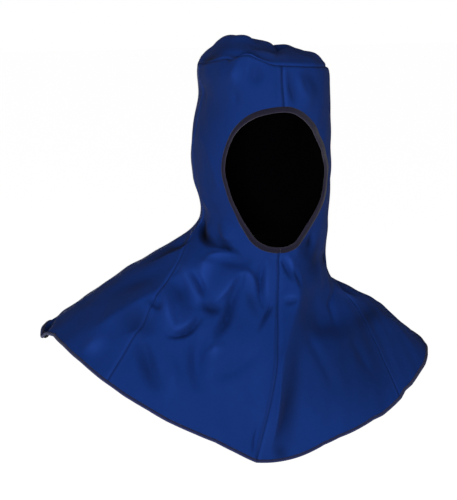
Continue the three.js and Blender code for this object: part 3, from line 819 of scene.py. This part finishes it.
@dataclass
class SharedEffects:
    """Node groups that several finishes use."""

    twill_slant: float = 0.62
    rib_share: float = 0.5
    pick_rate: float = 9.4
    pick_share: float = 0.25
    slub_scale: float = 420.0
    slub_share: float = 0.5
    weave: NodeTree = field(init=False)
    dye: NodeTree = field(init=False)

    def __post_init__(self) -> None:
        """Builds the groups once."""
        self.weave = self.build_weave()
        self.dye = self.build_dye()

    @staticmethod
    def new_group(
        name: str, inputs: dict[str, float], outputs: tuple[str, ...]
    ) -> tuple[NodeBench, Node, Node]:
        """Starts a group with number sockets.

        Args:
            name: name of the group.
            inputs: names of its inputs with their usual values.
            outputs: names of its outputs.

        Returns:
            The bench of the group, its entry and its exit.
        """
        group = bpy.data.node_groups.new(name, "ShaderNodeTree")
        for label, value in inputs.items():
            socket = group.interface.new_socket(label, in_out="INPUT", socket_type="NodeSocketFloat")
            socket.default_value = value
        for label in outputs:
            group.interface.new_socket(label, in_out="OUTPUT", socket_type="NodeSocketFloat")
        bench = NodeBench(group)
        return bench, bench.add("NodeGroupInput"), bench.add("NodeGroupOutput")

    def build_weave(self) -> NodeTree:
        """Builds slanted twill threads on the cloth's own map.

        Returns:
            A group that gives the threads' height and their tone.
        """
        bench, entry, leave = self.new_group("twill_weave", {"Threads": 900.0}, ("Height", "Tone"))
        threads = entry.outputs["Threads"]
        rib = bench.ribs(self.twill_slant, bench.math("MULTIPLY", threads, FULL_TURN))
        place = bench.cloth_map()
        length = bench.add("SeparateXYZ", Vector=place).outputs["Y"]
        pick_turns = bench.math("MULTIPLY", threads, self.pick_rate)
        pick = bench.math("SINE", bench.math("MULTIPLY", length, pick_turns))
        rib_height = bench.math("MULTIPLY", rib, self.rib_share)
        woven = bench.math("ADD", rib_height, bench.math("MULTIPLY", pick, self.pick_share))
        lumps = bench.noise(place, self.slub_scale, 3.0, 0.5)
        height = bench.math("ADD", woven, bench.spread(lumps, -self.slub_share, self.slub_share))
        bench.feed(leave.inputs["Height"], height)
        bench.feed(leave.inputs["Tone"], bench.math("MULTIPLY_ADD", height, 0.5, 0.5))
        return bench.tree

    def build_dye(self) -> NodeTree:
        """Builds the cloudy tone of dyed and handled cotton.

        Returns:
            A group that gives a tone round 0.5.
        """
        bench, entry, leave = self.new_group("dye_tone", {"Broad": 11.0, "Fine": 160.0}, ("Tone",))
        place = bench.add("TexCoord").outputs["Object"]
        cloud = bench.spread(bench.noise(place, entry.outputs["Broad"], 3.0, 0.6), 0.3, 0.7)
        speck = bench.spread(bench.noise(place, entry.outputs["Fine"], 5.0, 0.65), -0.2, 0.2)
        bench.feed(leave.inputs["Tone"], bench.math("ADD", cloud, speck))
        return bench.tree


def shader_colour(colour: Colour) -> tuple[float, ...]:
    """Turns a colour read off a screen into the shader's linear one.

    Args:
        colour: red, green and blue from 0 to 255.

    Returns:
        Linear red, green and blue, and full cover.
    """
    share = np.array(colour) / 255
    linear = np.where(share <= 0.04045, share / 12.92, ((share + 0.055) / 1.055) ** 2.4)
    return (*linear.tolist(), 1.0)


@dataclass(frozen=True)
class Finish:
    """Dyed cotton: the two tones of its dye, and the tone of its worn places, which on the cloth also lights
    the crests of folds as painted highlights.
    """

    name: str
    deep: Colour
    bright: Colour
    worn: Colour

    def shader(self, bench: NodeBench, effects: SharedEffects) -> Node:
        """Wires the finish and gives its shader."""
        raise NotImplementedError

    def material(self, effects: SharedEffects) -> Material:
        """Makes the material.

        Args:
            effects: the shared node groups.

        Returns:
            The material.
        """
        made = bpy.data.materials.new(self.name)
        made.use_nodes = True
        bench = NodeBench(made.node_tree)
        bench.add("OutputMaterial", Surface=self.shader(bench, effects).outputs["BSDF"])
        return made

    def dye_worn_and_highlit(self, bench: NodeBench, tone: NodeSocket) -> NodeSocket:
        """Mixes the dye by a tone and gives worn places and painted highlights the worn tone."""
        dyed = bench.blend(tone, shader_colour(self.deep), shader_colour(self.bright))
        return bench.blend(bench.attribute(WEAR_AND_HIGHLIGHT), dyed, shader_colour(self.worn))


@dataclass(frozen=True)
class ClothFinish(Finish):
    """Cotton twill, or its reverse, which is painted near black as the shade inside the hood."""

    # Colour that painted shade mixes towards, in folds and seams
    shadow: Colour
    roughness: float
    sheen: float
    specular: float
    weave_depth: float
    threads: float = 900.0
    weave_tone: float = 0.12
    rough_spread: float = 0.12
    sheen_tint: Colour = (215, 218, 230)

    def shader(self, bench: NodeBench, effects: SharedEffects) -> Node:
        """Wires the dye, the weave, and the painted shade and painted highlights of folds and seams.

        Args:
            bench: the material's nodes.
            effects: the shared node groups.

        Returns:
            The shader.
        """
        tone = bench.add("Group", node_tree=effects.dye).outputs["Tone"]
        weave = bench.add("Group", node_tree=effects.weave, Threads=self.threads)
        woven = bench.spread(weave.outputs["Tone"], -self.weave_tone, self.weave_tone)
        worn_and_highlit = self.dye_worn_and_highlit(bench, bench.math("ADD", tone, woven))
        bump = bench.add("Bump", Strength=0.5, Distance=self.weave_depth * METRES_PER_MM)
        bench.feed(bump.inputs["Height"], weave.outputs["Height"])
        smoothest = self.roughness - self.rough_spread / 2
        # The base colour is darkened towards the shadow colour by painted shade
        return bench.add(
            "BsdfPrincipled",
            Base_Color=bench.blend(bench.attribute(SHADE), worn_and_highlit, shader_colour(self.shadow)),
            Roughness=bench.math("MULTIPLY_ADD", tone, self.rough_spread, smoothest),
            Normal=bump.outputs["Normal"],
            Specular_IOR_Level=self.specular,
            Sheen_Weight=self.sheen,
            Sheen_Roughness=0.45,
            Sheen_Tint=shader_colour(self.sheen_tint),
        )


@dataclass(frozen=True)
class BindingFinish(Finish):
    """Overlocked edge tape: close thread ribs across a dark tape."""

    rib_depth: float
    rib: float = 1.6
    rib_slant: float = 0.25
    rib_tone: float = 0.16
    grain: float = 420.0

    def shader(self, bench: NodeBench, effects: SharedEffects) -> Node:
        """Wires the dye and the ribs.

        Args:
            bench: the material's nodes.
            effects: the shared node groups.

        Returns:
            The shader.
        """
        dye = bench.add("Group", node_tree=effects.dye, Fine=self.grain)
        ribs = bench.ribs(self.rib_slant, FULL_TURN / (self.rib * METRES_PER_MM))
        tone = bench.math("ADD", dye.outputs["Tone"], bench.math("MULTIPLY", ribs, self.rib_tone))
        bump = bench.add("Bump", Strength=0.6, Distance=self.rib_depth * METRES_PER_MM, Height=ribs)
        return bench.add(
            "BsdfPrincipled",
            Base_Color=self.dye_worn_and_highlit(bench, tone),
            Roughness=0.8,
            Normal=bump.outputs["Normal"],
            Specular_IOR_Level=0.2,
            Sheen_Weight=0.15,
            Sheen_Roughness=0.5,
        )


ROYAL_BLUE = ClothFinish(
    name="royal_blue_twill",
    deep=(15, 47, 115),
    bright=(19, 53, 125),
    # Worn seams, and painted highlights on the crests of folds
    worn=(32, 68, 154),
    # Painted shade in folds and seams
    shadow=(1, 5, 14),
    roughness=0.86,
    sheen=0.02,
    specular=0.08,
    weave_depth=0.12,
)
# Inner walls of the panels, painted near black as the shade inside the hood
PAINTED_SHADE_REVERSE = ClothFinish(
    name="painted_shade_reverse",
    deep=(1, 1, 2),
    bright=(2, 2, 4),
    worn=(3, 3, 5),
    shadow=(1, 1, 2),
    roughness=0.95,
    sheen=0.0,
    specular=0.02,
    weave_depth=0.08,
)
PLUM_TAPE = BindingFinish("plum_navy_tape", (12, 8, 26), (22, 17, 42), (35, 29, 54), rib_depth=0.35)
NAVY_TAPE = BindingFinish("navy_tape", (16, 21, 54), (29, 36, 81), (42, 51, 106), rib_depth=0.3)


@dataclass
class Finishes:
    """The materials of the hood."""

    cloth: Material
    reverse: Material
    tapes: dict[Tape, Material]

    @classmethod
    def make(cls) -> "Finishes":
        """Builds the shared effects and every finish.

        Returns:
            The materials.
        """
        effects = SharedEffects()
        tapes = {Tape.FACE: PLUM_TAPE.material(effects), Tape.HEM: NAVY_TAPE.material(effects)}
        return cls(ROYAL_BLUE.material(effects), PAINTED_SHADE_REVERSE.material(effects), tapes)


@dataclass
class WallMesh:
    """A closed sheet being made: points in millimetres, faces and the material of each face."""

    points: list[Array]
    faces: list[list[int]] = field(default_factory=list)
    linings: list[int] = field(default_factory=list)
    sharp_angle: float = 62.0

    @classmethod
    def between(cls, outer: Array, inner: Array, faces: list[Array], rim: Array) -> "WallMesh":
        """Closes two walls with the same faces along their rims.

        Args:
            outer: points of the outer wall.
            inner: points of the inner wall, in the same order.
            faces: rows of corner numbers on the outer wall.
            rim: its corner numbers round the edge.

        Returns:
            The closed sheet.
        """
        sheet = cls([outer, inner])
        inside = len(outer)
        for corners in faces:
            sheet.add_faces(corners, 0)
            sheet.add_faces(corners[:, ::-1] + inside, 1)
        after = np.roll(rim, -1)
        sheet.add_faces(np.stack([after, rim, rim + inside, after + inside], axis=-1), 0)
        return sheet

    def add_faces(self, corners: Array, lining: int) -> None:
        """Adds faces from rows of corner numbers, on one material."""
        self.faces.extend(corners.tolist())
        self.linings.extend([lining] * len(corners))

    def finish(self, name: str, uv: Array, shares: dict[str, Array], materials: list[Material]) -> Object:
        """Makes the object.

        Args:
            name: name of the piece.
            uv: place of each point on the flat cloth, in metres.
            shares: what the finishes read at each point, from 0 to 1, by attribute name.
            materials: outer and inner material.

        Returns:
            The finished object, at the origin.
        """
        mesh = bpy.data.meshes.new(name)
        points = np.concatenate(self.points) * METRES_PER_MM
        mesh.from_pydata(points.tolist(), [], self.faces)
        for material in materials:
            mesh.materials.append(material)
        mesh.polygons.foreach_set("material_index", self.linings)
        mesh.polygons.foreach_set("use_smooth", [True] * len(self.faces))
        corner = np.empty(len(mesh.loops), int)
        mesh.loops.foreach_get("vertex_index", corner)
        layer = mesh.uv_layers.new(name=CLOTH_UV)
        layer.data.foreach_set("uv", uv[corner].astype(np.float32).ravel())
        for label, values in shares.items():
            attribute = mesh.attributes.new(label, "FLOAT", "POINT")
            attribute.data.foreach_set("value", values.astype(np.float32))
        mesh.set_sharp_from_angle(angle=math.radians(self.sharp_angle))
        mesh.validate()
        piece = bpy.data.objects.new(name, mesh)
        bpy.context.scene.collection.objects.link(piece)
        return piece


@dataclass
class ClothPanel:
    """A panel of the hood between seams, made into a closed sheet."""

    name: str
    shape: HoodShape
    seam: SeamStyle
    wall: float = 1.1
    cloth_area: float = field(default=0.0, init=False)

    def build(self, finishes: Finishes) -> Object:
        """Makes the panel and measures its cloth."""
        raise NotImplementedError

    def dress(
        self, sheet: WallMesh, flat: Array, nearest: Array, shade: Array, finishes: Finishes
    ) -> Object:
        """Finishes a sheet, whose inner wall has no seams and no painted shade of its own.

        Args:
            sheet: the closed sheet.
            flat: place of each outer point on the flat cloth, in metres.
            nearest: distance of each outer point from the nearest seam.
            shade: painted shade of each outer point, negative for painted highlights.
            finishes: the materials.

        Returns:
            The piece.
        """
        none = np.zeros(len(flat))
        shares = self.seam.shares(np.append(nearest, none + FAR), np.append(shade, none))
        return sheet.finish(
            self.name, np.concatenate([flat, flat]), shares, [finishes.cloth, finishes.reverse]
        )


@dataclass
class WrapPanel(ClothPanel):
    """A panel round the hood: rows of points between two upright edges, from the hem to the crown seam."""

    side: Side = Side.RIGHT
    columns: int = 150
    gather: float = 0.6
    row_spacing: float = 3.0

    def edges(self) -> tuple[Array, Array, Array]:
        """Gives the first and the last angle of every row, and its level."""
        raise NotImplementedError

    def seam_distances(self, points: Array) -> list[Array]:
        """Gives distances from the first edge, the last edge and the crown seam.

        Args:
            points: the grid of points.

        Returns:
            Three grids of distances.
        """
        along = lengths_along(points, 1)
        upwards = lengths_along(points, 0)
        return [along, along[:, -1:] - along, upwards[-1:] - upwards]

    def lap_shares(self, distances: list[Array]) -> Array:
        """Gives how far every point lies on the band of a lapped seam."""
        return np.zeros_like(distances[0])

    def surface(self) -> tuple[Array, Array, Array]:
        """Folds the panel and presses its seams.

        Returns:
            The grid of outer points, each point's distance from the nearest seam, and its painted shade.
        """
        start, end, levels = self.edges()
        share = gathered_columns(self.columns, self.gather)
        angle = start[:, None] + (end - start)[:, None] * share
        level = np.repeat(levels[:, None], len(share), axis=1)
        points, shade = self.shape.folded(angle, self.shape.sewn_level(angle, level))
        distances = self.seam_distances(points)
        lap = self.lap_shares(distances)
        lift = sum(self.seam.profile(distance) for distance in distances) + self.seam.lap_height * lap
        outer = points + grid_normals(points) * lift[..., None]
        # The lapped band is darkened towards the shade colour as well
        return outer, np.minimum.reduce(distances), shade + self.seam.lap_dark * lap

    def build(self, finishes: Finishes) -> Object:
        """Makes the panel and measures its cloth.

        Args:
            finishes: the materials.

        Returns:
            The piece.
        """
        outer, nearest, shade = self.surface()
        inner = outer - grid_normals(outer) * self.wall
        size = outer.shape[:2]
        self.cloth_area = area_of(outer)
        flat = np.stack([lengths_along(outer, 1), lengths_along(outer, 0)], axis=-1) * METRES_PER_MM
        sheet = WallMesh.between(
            outer.reshape(-1, 3), inner.reshape(-1, 3), [grid_quads(*size)], rim_corners(*size)
        )
        return self.dress(sheet, flat.reshape(-1, 2), nearest, shade, finishes)


@dataclass
class FrontPanel(WrapPanel):
    """One half of the front, from the hem past the face opening up to the crown seam."""

    columns: int = 104
    gather: float = 0.62
    row_spacing: float = 2.5
    opening: FaceOpening = field(default_factory=FaceOpening)
    opening_rows: int = 88
    seam_rows: Array = field(init=False)

    def inner_edge(self) -> tuple[Array, Array]:
        """Finds the edge at the centre front and the face opening, and which rows are sewn there.

        Returns:
            Unsigned angles and levels.
        """
        shape = self.shape
        turns = np.linspace(0, np.pi, self.opening_rows + 1)
        face = self.opening.level(shape, turns)
        cape = shape.even_levels(0, 0.0, face[0], self.row_spacing)[:-1]
        forehead = shape.even_levels(0, face[-1], CROWN_SEAM_LEVEL, self.row_spacing)[1:]
        levels = np.concatenate([cape, face, forehead])
        open_angles = self.opening.angle(self.side, turns)
        angles = np.concatenate([np.zeros(len(cape)), open_angles, np.zeros(len(forehead))])
        least = shape.gap_angle(np.zeros_like(levels), levels, self.seam.gap / 2)
        self.seam_rows = angles <= np.abs(least)
        return np.where(self.seam_rows, least, angles), levels

    def edges(self) -> tuple[Array, Array, Array]:
        """Runs from the right side seam to the centre front, or from there to the left side seam.

        Returns:
            The first and the last angle of every row, and its level.
        """
        inner, levels = self.inner_edge()
        outer = self.shape.seam_angle(self.side, levels)
        outer = outer - self.shape.gap_angle(self.side.value * outer, levels, self.seam.gap / 2)
        if self.side is Side.RIGHT:
            return -outer, -inner, levels
        return inner, outer, levels

    def seam_distances(self, points: Array) -> list[Array]:
        """Gives distances from the side seam, the centre seam and the crown seam.

        Args:
            points: the grid of points.

        Returns:
            Three grids of distances.
        """
        first, last, crown = super().seam_distances(points)
        side, centre = (first, last) if self.side is Side.RIGHT else (last, first)
        return [side, np.where(self.seam_rows[:, None], centre, FAR), crown]

    def lap_shares(self, distances: list[Array]) -> Array:
        """Gives the band of the centre seam, which is lapped onto the right panel."""
        return self.seam.lap(distances[1]) if self.side is Side.RIGHT else super().lap_shares(distances)


@dataclass
class BackPanel(WrapPanel):
    """One half of the back, from a side seam round to the centre back seam."""

    def edges(self) -> tuple[Array, Array, Array]:
        """Runs from the left side seam to the centre back, or from there to the right side seam.

        Returns:
            The first and the last angle of every row, and its level.
        """
        shape = self.shape
        levels = shape.even_levels(180, 0.0, CROWN_SEAM_LEVEL, self.row_spacing)
        turn = shape.seam_angle(self.side, levels)
        back = np.full_like(levels, 180.0)
        start, end = (turn, back) if self.side is Side.LEFT else (back, 360 - turn)
        half_gap = self.seam.gap / 2
        start = start + shape.gap_angle(start, levels, half_gap)
        return start, end - shape.gap_angle(end, levels, half_gap), levels


@dataclass
class CrownPanel(ClothPanel):
    """The lid, from the crown seam to its middle."""

    columns: int = 220
    rings: int = 46
    ring_power: float = 1.25
    seam_clearance: float = 0.008

    def places(self) -> tuple[Array, Array]:
        """Gives grids of angles and levels, ring by ring up to the last one round the middle.

        Returns:
            Angles in degrees, and levels.
        """
        low = CROWN_SEAM_LEVEL + self.seam_clearance
        share = np.linspace(0, 1, self.rings + 1)[:-1] ** self.ring_power
        angle = np.arange(self.columns) * 360 / self.columns
        return np.meshgrid(angle, low + (LID_CENTRE_LEVEL - low) * share)

    def build(self, finishes: Finishes) -> Object:
        """Makes the lid with a fan in its middle and measures its cloth.

        Args:
            finishes: the materials.

        Returns:
            The piece.
        """
        angle, level = self.places()
        outer, shade = self.shape.folded(angle, self.shape.sewn_level(angle, level))
        wrapped = np.concatenate([outer[:, -1:], outer, outer[:, :1]], axis=1)
        normals = grid_normals(wrapped)[:, 1:-1]
        distance = lengths_along(outer, 0)
        outer = outer + normals * self.seam.profile(distance)[..., None]
        inner = outer - normals * self.wall
        self.cloth_area = area_of(np.concatenate([outer, outer[:, :1]], axis=1))
        pole = self.shape.cloth(np.array([0.0]), np.array([LID_CENTRE_LEVEL]))
        outer_points = np.concatenate([outer.reshape(-1, 3), pole])
        inner_points = np.concatenate([inner.reshape(-1, 3), pole - [0.0, 0.0, self.wall]])
        middle = len(outer_points) - 1
        last = np.arange(middle - self.columns, middle)
        fan = np.stack([last, np.roll(last, -1), np.full_like(last, middle)], axis=-1)
        quads = grid_quads(self.rings, self.columns, round_rows=True)
        sheet = WallMesh.between(outer_points, inner_points, [quads, fan], np.arange(self.columns))
        flat = outer_points[:, :2] * METRES_PER_MM
        return self.dress(sheet, flat, np.append(distance, FAR), np.append(shade, 0.0), finishes)


@dataclass
class EdgeBinding:
    """A tape folded over a cut edge of the cloth and sewn down, swept along the edge.

    The cloth lies on the left of the edge, seen from outside. Slim is how much narrower the tape is
    where it is rolled under, round one angle.
    """

    name: str
    shape: HoodShape
    edge: Callable[[], tuple[Array, Array]]
    closed: bool
    kind: Tape
    width: float = 7.0
    tape: float = 0.9
    bulge: float = 0.55
    bulge_power: float = 0.7
    bulge_start: float = 0.1
    thin_end: float = 0.55
    round_turns: tuple[float, ...] = (60, 25, -25, -60)
    cloth_wall: float = 1.1
    clearance: float = 0.12
    spacing: float = 2.0
    leg_steps: int = 6
    slim: float = 0.0
    slim_angle: float = -43.0
    slim_reach: float = 13.0
    wear_from: float = 0.4
    wear_width: float = 1.1

    def stations(self) -> tuple[Array, Array]:
        """Gives places that lie evenly along the edge.

        Returns:
            Angles and levels.
        """
        angle, level = self.edge()
        points = self.shape.cloth(angle, level)
        if self.closed:
            angle = np.append(angle, angle[0] + 360)
            level = np.append(level, level[0])
            points = np.concatenate([points, points[:1]])
        along = lengths_along(points[:, None], 0)[:, 0]
        count = int(round(along[-1] / self.spacing))
        wanted = np.linspace(0, along[-1], count + 1)
        if self.closed:
            wanted = wanted[:-1]
        return np.interp(wanted, along, angle), np.interp(wanted, along, level)

    def tangents(self, points: Array) -> Array:
        """Gives the directions along the edge."""
        ring = np.roll(points, -1, axis=0) - np.roll(points, 1, axis=0)
        return unit(ring if self.closed else np.gradient(points, axis=0))

    def leg_places(self, angle: Array, level: Array) -> tuple[Array, Array, Array]:
        """Walks from the edge into the cloth, along its plain surface.

        Args:
            angle: angles of the stations.
            level: levels of the stations.

        Returns:
            Angles and levels by step and station, and the walked distances.
        """
        tangent = self.tangents(self.shape.plain(angle, level))
        distances = np.linspace(0, self.width, self.leg_steps + 1)
        widths = 1 - self.slim * bell(angle - self.slim_angle, self.slim_reach)
        angles = [angle]
        levels = [level]
        for run in np.diff(distances):
            slopes = np.stack(self.shape.slopes(angles[-1], levels[-1]), axis=1)
            normal = unit(np.cross(slopes[:, 0], slopes[:, 1]))
            inwards = np.cross(normal, tangent)
            gram = slopes @ slopes.swapaxes(1, 2)
            step = np.linalg.solve(gram, slopes @ inwards[..., None])[..., 0]
            angles.append(angles[-1] + step[:, 0] * run * widths)
            levels.append(levels[-1] + step[:, 1] * run * widths)
        return np.array(angles), np.array(levels), distances

    def profile(self) -> tuple[Array, Array, Array]:
        """Gives the tape's section round the cloth's edge.

        Returns:
            For each corner: the leg step it stands on, its height over the cloth's outer face,
            and how far it stands out beyond the edge.
        """
        steps = np.arange(self.leg_steps + 1)[::-1]
        share = steps / self.leg_steps
        low = self.clearance
        below = -self.cloth_wall - low
        swell = np.sin(np.pi * (self.bulge_start + (1 - self.bulge_start) * share))
        crown = self.bulge * np.maximum(swell, 0) ** self.bulge_power
        thick = self.tape * np.where(steps == self.leg_steps, self.thin_end, 1.0) + crown
        turn = np.radians(self.round_turns)
        round_height = (0.5 * self.cloth_wall + low + self.tape) * np.sin(turn) - 0.5 * self.cloth_wall
        round_out = (low + self.tape) * np.cos(turn)
        flat = np.zeros(len(steps))
        ends = np.array([0, self.leg_steps])
        step = np.concatenate([steps, np.zeros(len(turn), int), steps[::-1], ends[::-1], ends])
        height = np.concatenate(
            [low + thick, round_height, (below - thick)[::-1], [below, below], [low, low]]
        )
        out = np.concatenate([flat, round_out, flat, [0, low], [low, 0]])
        return step, height, out

    def build(self, finishes: Finishes) -> Object:
        """Makes the tape as a closed sweep.

        Args:
            finishes: the materials.

        Returns:
            The piece.
        """
        angles, levels, distances = self.leg_places(*self.stations())
        points = self.shape.cloth(angles, levels)
        inwards = unit(points[1] - points[0])
        normal = unit(np.cross(self.tangents(points[0]), inwards))
        step, height, out = self.profile()
        section = points[step] + normal * height[:, None, None] - inwards * out[:, None, None]
        rows = np.swapaxes(section, 0, 1)
        size = rows.shape[:2]
        sheet = WallMesh([rows.reshape(-1, 3)])
        quads = grid_quads(*size, round_rows=True, round_columns=self.closed)
        sheet.add_faces(np.roll(quads[:, ::-1], 1, axis=1), 0)
        if not self.closed:
            corners = np.arange(size[0] * size[1]).reshape(size)
            sheet.add_faces(np.stack([corners[0], corners[-1, ::-1]]), 0)
        along = lengths_along(points[0][:, None], 0)
        uv = np.stack(np.broadcast_arrays(along, distances[step] - out), axis=-1).reshape(-1, 2)
        worn = np.tile(bell(distances[step] + self.wear_from, self.wear_width), size[0])
        return sheet.finish(self.name, uv * METRES_PER_MM, {WEAR_AND_HIGHLIGHT: worn}, [finishes.tapes[self.kind]])


@dataclass
class Hood:
    """The whole hood: its panels and bindings, built and hung on the frame's body in place of its CAD parts.
    """

    shape: HoodShape = field(default_factory=HoodShape)
    seam: SeamStyle = field(default_factory=SeamStyle)
    opening: FaceOpening = field(default_factory=FaceOpening)
    chin_gap: float = 0.004
    face_samples: int = 240
    hem_samples: int = 1440

    def face_edge(self) -> tuple[Array, Array]:
        """Gives the edge of the face opening, up its right side and down its left one.

        Returns:
            Angles and levels.
        """
        turns = np.linspace(self.chin_gap, np.pi, self.face_samples)
        level = self.opening.level(self.shape, turns)
        right = -self.opening.angle(Side.RIGHT, turns)
        left = self.opening.angle(Side.LEFT, turns)
        return np.concatenate([right, left[-2::-1]]), np.concatenate([level, level[-2::-1]])

    def hem_edge(self) -> tuple[Array, Array]:
        """Gives the hem, all the way round from the front to the left."""
        angle = np.arange(self.hem_samples) * 360 / self.hem_samples
        return angle, self.shape.sewn_level(angle, np.zeros_like(angle))

    def panels(self) -> list[ClothPanel]:
        """Lists the panels.

        Returns:
            The panels in the order of sewing.
        """
        shape = self.shape
        seam = self.seam
        # The back-left side seam is pressed flatter, less worn, with a fainter painted shade line
        flat_seam = replace(seam, depth=0.6, puff=0.1, worn=0.1, dark=0.3)
        return [
            FrontPanel("cloth_front_right", shape, seam, side=Side.RIGHT, opening=self.opening),
            FrontPanel("cloth_front_left", shape, seam, side=Side.LEFT, opening=self.opening),
            BackPanel("cloth_back_right", shape, seam, side=Side.RIGHT),
            BackPanel("cloth_back_left", shape, flat_seam, side=Side.LEFT),
            CrownPanel("cloth_crown", shape, seam),
        ]

    def bindings(self) -> list[EdgeBinding]:
        """Lists the bindings.

        Returns:
            The two bound edges.
        """
        face = EdgeBinding("tape_face", self.shape, self.face_edge, False, Tape.FACE, slim=0.4)
        hem = EdgeBinding(
            "tape_hem", self.shape, self.hem_edge, True, Tape.HEM, width=3.4, bulge=0.3, spacing=2.2
        )
        return [face, hem]

    def build(self, finishes: Finishes) -> dict[str, Object]:
        """Makes every piece, hangs it on the frame's body and hides the CAD part that it stands for.

        Args:
            finishes: the materials.

        Returns:
            The pieces by name.
        """
        panels = self.panels()
        pieces: dict[str, Object] = {}
        for part in [*panels, *self.bindings()]:
            piece = part.build(finishes)
            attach(piece, BODY)
            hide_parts(STANDS_FOR[piece.name])
            pieces[piece.name] = piece
            LOG.info("%s: %d faces", piece.name, len(piece.data.polygons))
        return pieces


@dataclass(frozen=True)
class SoftLight:
    """One soft light that faces the hood: its direction, watts, and the side of its square in metres."""

    name: str
    direction: tuple[float, float, float]
    watts: float
    size: float
    reach: float = 3.2

    def add(self, target: Vector) -> None:
        """Adds the light at its distance from a target.

        Args:
            target: the point that it faces.
        """
        data = bpy.data.lights.new(self.name, "AREA")
        data.shape = "SQUARE"
        data.size = self.size
        data.energy = self.watts
        light = bpy.data.objects.new(self.name, data)
        aim = Vector(self.direction).normalized()
        light.location = target + aim * self.reach
        light.rotation_euler = aim.to_track_quat("Z", "Y").to_euler()
        bpy.context.scene.collection.objects.link(light)


LIGHTS = (
    SoftLight("key_light", (-0.30, -0.95, 0.10), 78.0, 0.7),
    SoftLight("left_light", (-0.80, -0.60, 0.05), 6.0, 0.8),
    SoftLight("right_light", (0.62, -0.74, 0.26), 4.0, 0.8),
    SoftLight("back_light", (0.15, 0.96, -0.10), 50.0, 0.8),
    SoftLight("top_light", (0.05, 0.35, 0.94), 8.0, 0.9),
)
WHITE = (1.0, 1.0, 1.0, 1.0)


@dataclass
class Studio:
    """Plain white studio: pale floor, soft lights, the brightest of them near the camera, and the camera."""

    target: tuple[float, float, float] = (-0.046, 0.012, -0.296)
    azimuth: float = -15.0
    elevation: float = 12.0
    distance: float = 2.3
    focal_pixels: float = 1610.0
    image_height: int = 500
    sensor: float = 36.0
    floor_height: float = -1.75
    floor_size: float = 40.0
    floor_tone: float = 0.9
    room_light: float = 0.10

    def add_camera(self) -> None:
        """Adds the camera at the photograph's angle."""
        turn = math.radians(self.azimuth)
        rise = math.radians(self.elevation)
        level = math.cos(rise)
        toward = Vector((math.sin(turn) * level, -math.cos(turn) * level, math.sin(rise)))
        data = bpy.data.cameras.new("camera")
        data.sensor_fit = "VERTICAL"
        data.sensor_height = self.sensor
        data.lens = self.sensor * self.focal_pixels / self.image_height
        data.dof.use_dof = False
        camera = bpy.data.objects.new("camera", data)
        camera.location = Vector(self.target) + toward * self.distance
        camera.rotation_euler = toward.to_track_quat("Z", "Y").to_euler()
        bpy.context.scene.collection.objects.link(camera)
        bpy.context.scene.camera = camera

    def add_floor(self) -> None:
        """Adds the pale floor, as far below the hood as a standing wearer's feet."""
        bpy.ops.object.select_all(action="DESELECT")
        bpy.ops.mesh.primitive_plane_add(size=self.floor_size, location=(0, 0, self.floor_height))
        floor = bpy.context.active_object
        floor.name = "floor"
        paint = bpy.data.materials.new("pale_floor")
        paint.use_nodes = True
        shader = paint.node_tree.nodes["Principled BSDF"]
        tone = self.floor_tone
        shader.inputs["Base Color"].default_value = (tone, tone, tone, 1.0)
        shader.inputs["Roughness"].default_value = 0.9
        shader.inputs["Emission Color"].default_value = WHITE
        shader.inputs["Emission Strength"].default_value = 0.9
        floor.data.materials.append(paint)
        floor.visible_diffuse = False

    def add_world(self) -> None:
        """Adds the white surroundings, which light the hood only a little."""
        world = bpy.data.worlds.new("white_room")
        world.use_nodes = True
        bench = NodeBench(world.node_tree)
        seen = bench.add("Background", Color=WHITE, Strength=1.0)
        lit = bench.add("Background", Color=WHITE, Strength=self.room_light)
        mix = bench.add("MixShader", Fac=bench.add("LightPath").outputs["Is Camera Ray"])
        bench.feed(mix.inputs[1], lit.outputs["Background"])
        bench.feed(mix.inputs[2], seen.outputs["Background"])
        bench.add("OutputWorld", Surface=mix.outputs["Shader"])
        bpy.context.scene.world = world

    def build(self) -> None:
        """Sets up the whole studio."""
        bpy.context.scene.view_settings.view_transform = "Standard"
        self.add_camera()
        for light in LIGHTS:
            light.add(Vector(self.target))
        self.add_floor()
        self.add_world()


def main() -> None:
    """Builds the studio and the hood in order."""
    logging.basicConfig(level=logging.INFO, format="%(name)s: %(message)s")
    Studio().build()
    LOG.info("studio ready")
    pieces = Hood().build(Finishes.make())
    LOG.info("%d pieces ready", len(pieces))


if __name__ == "__main__":
    main()
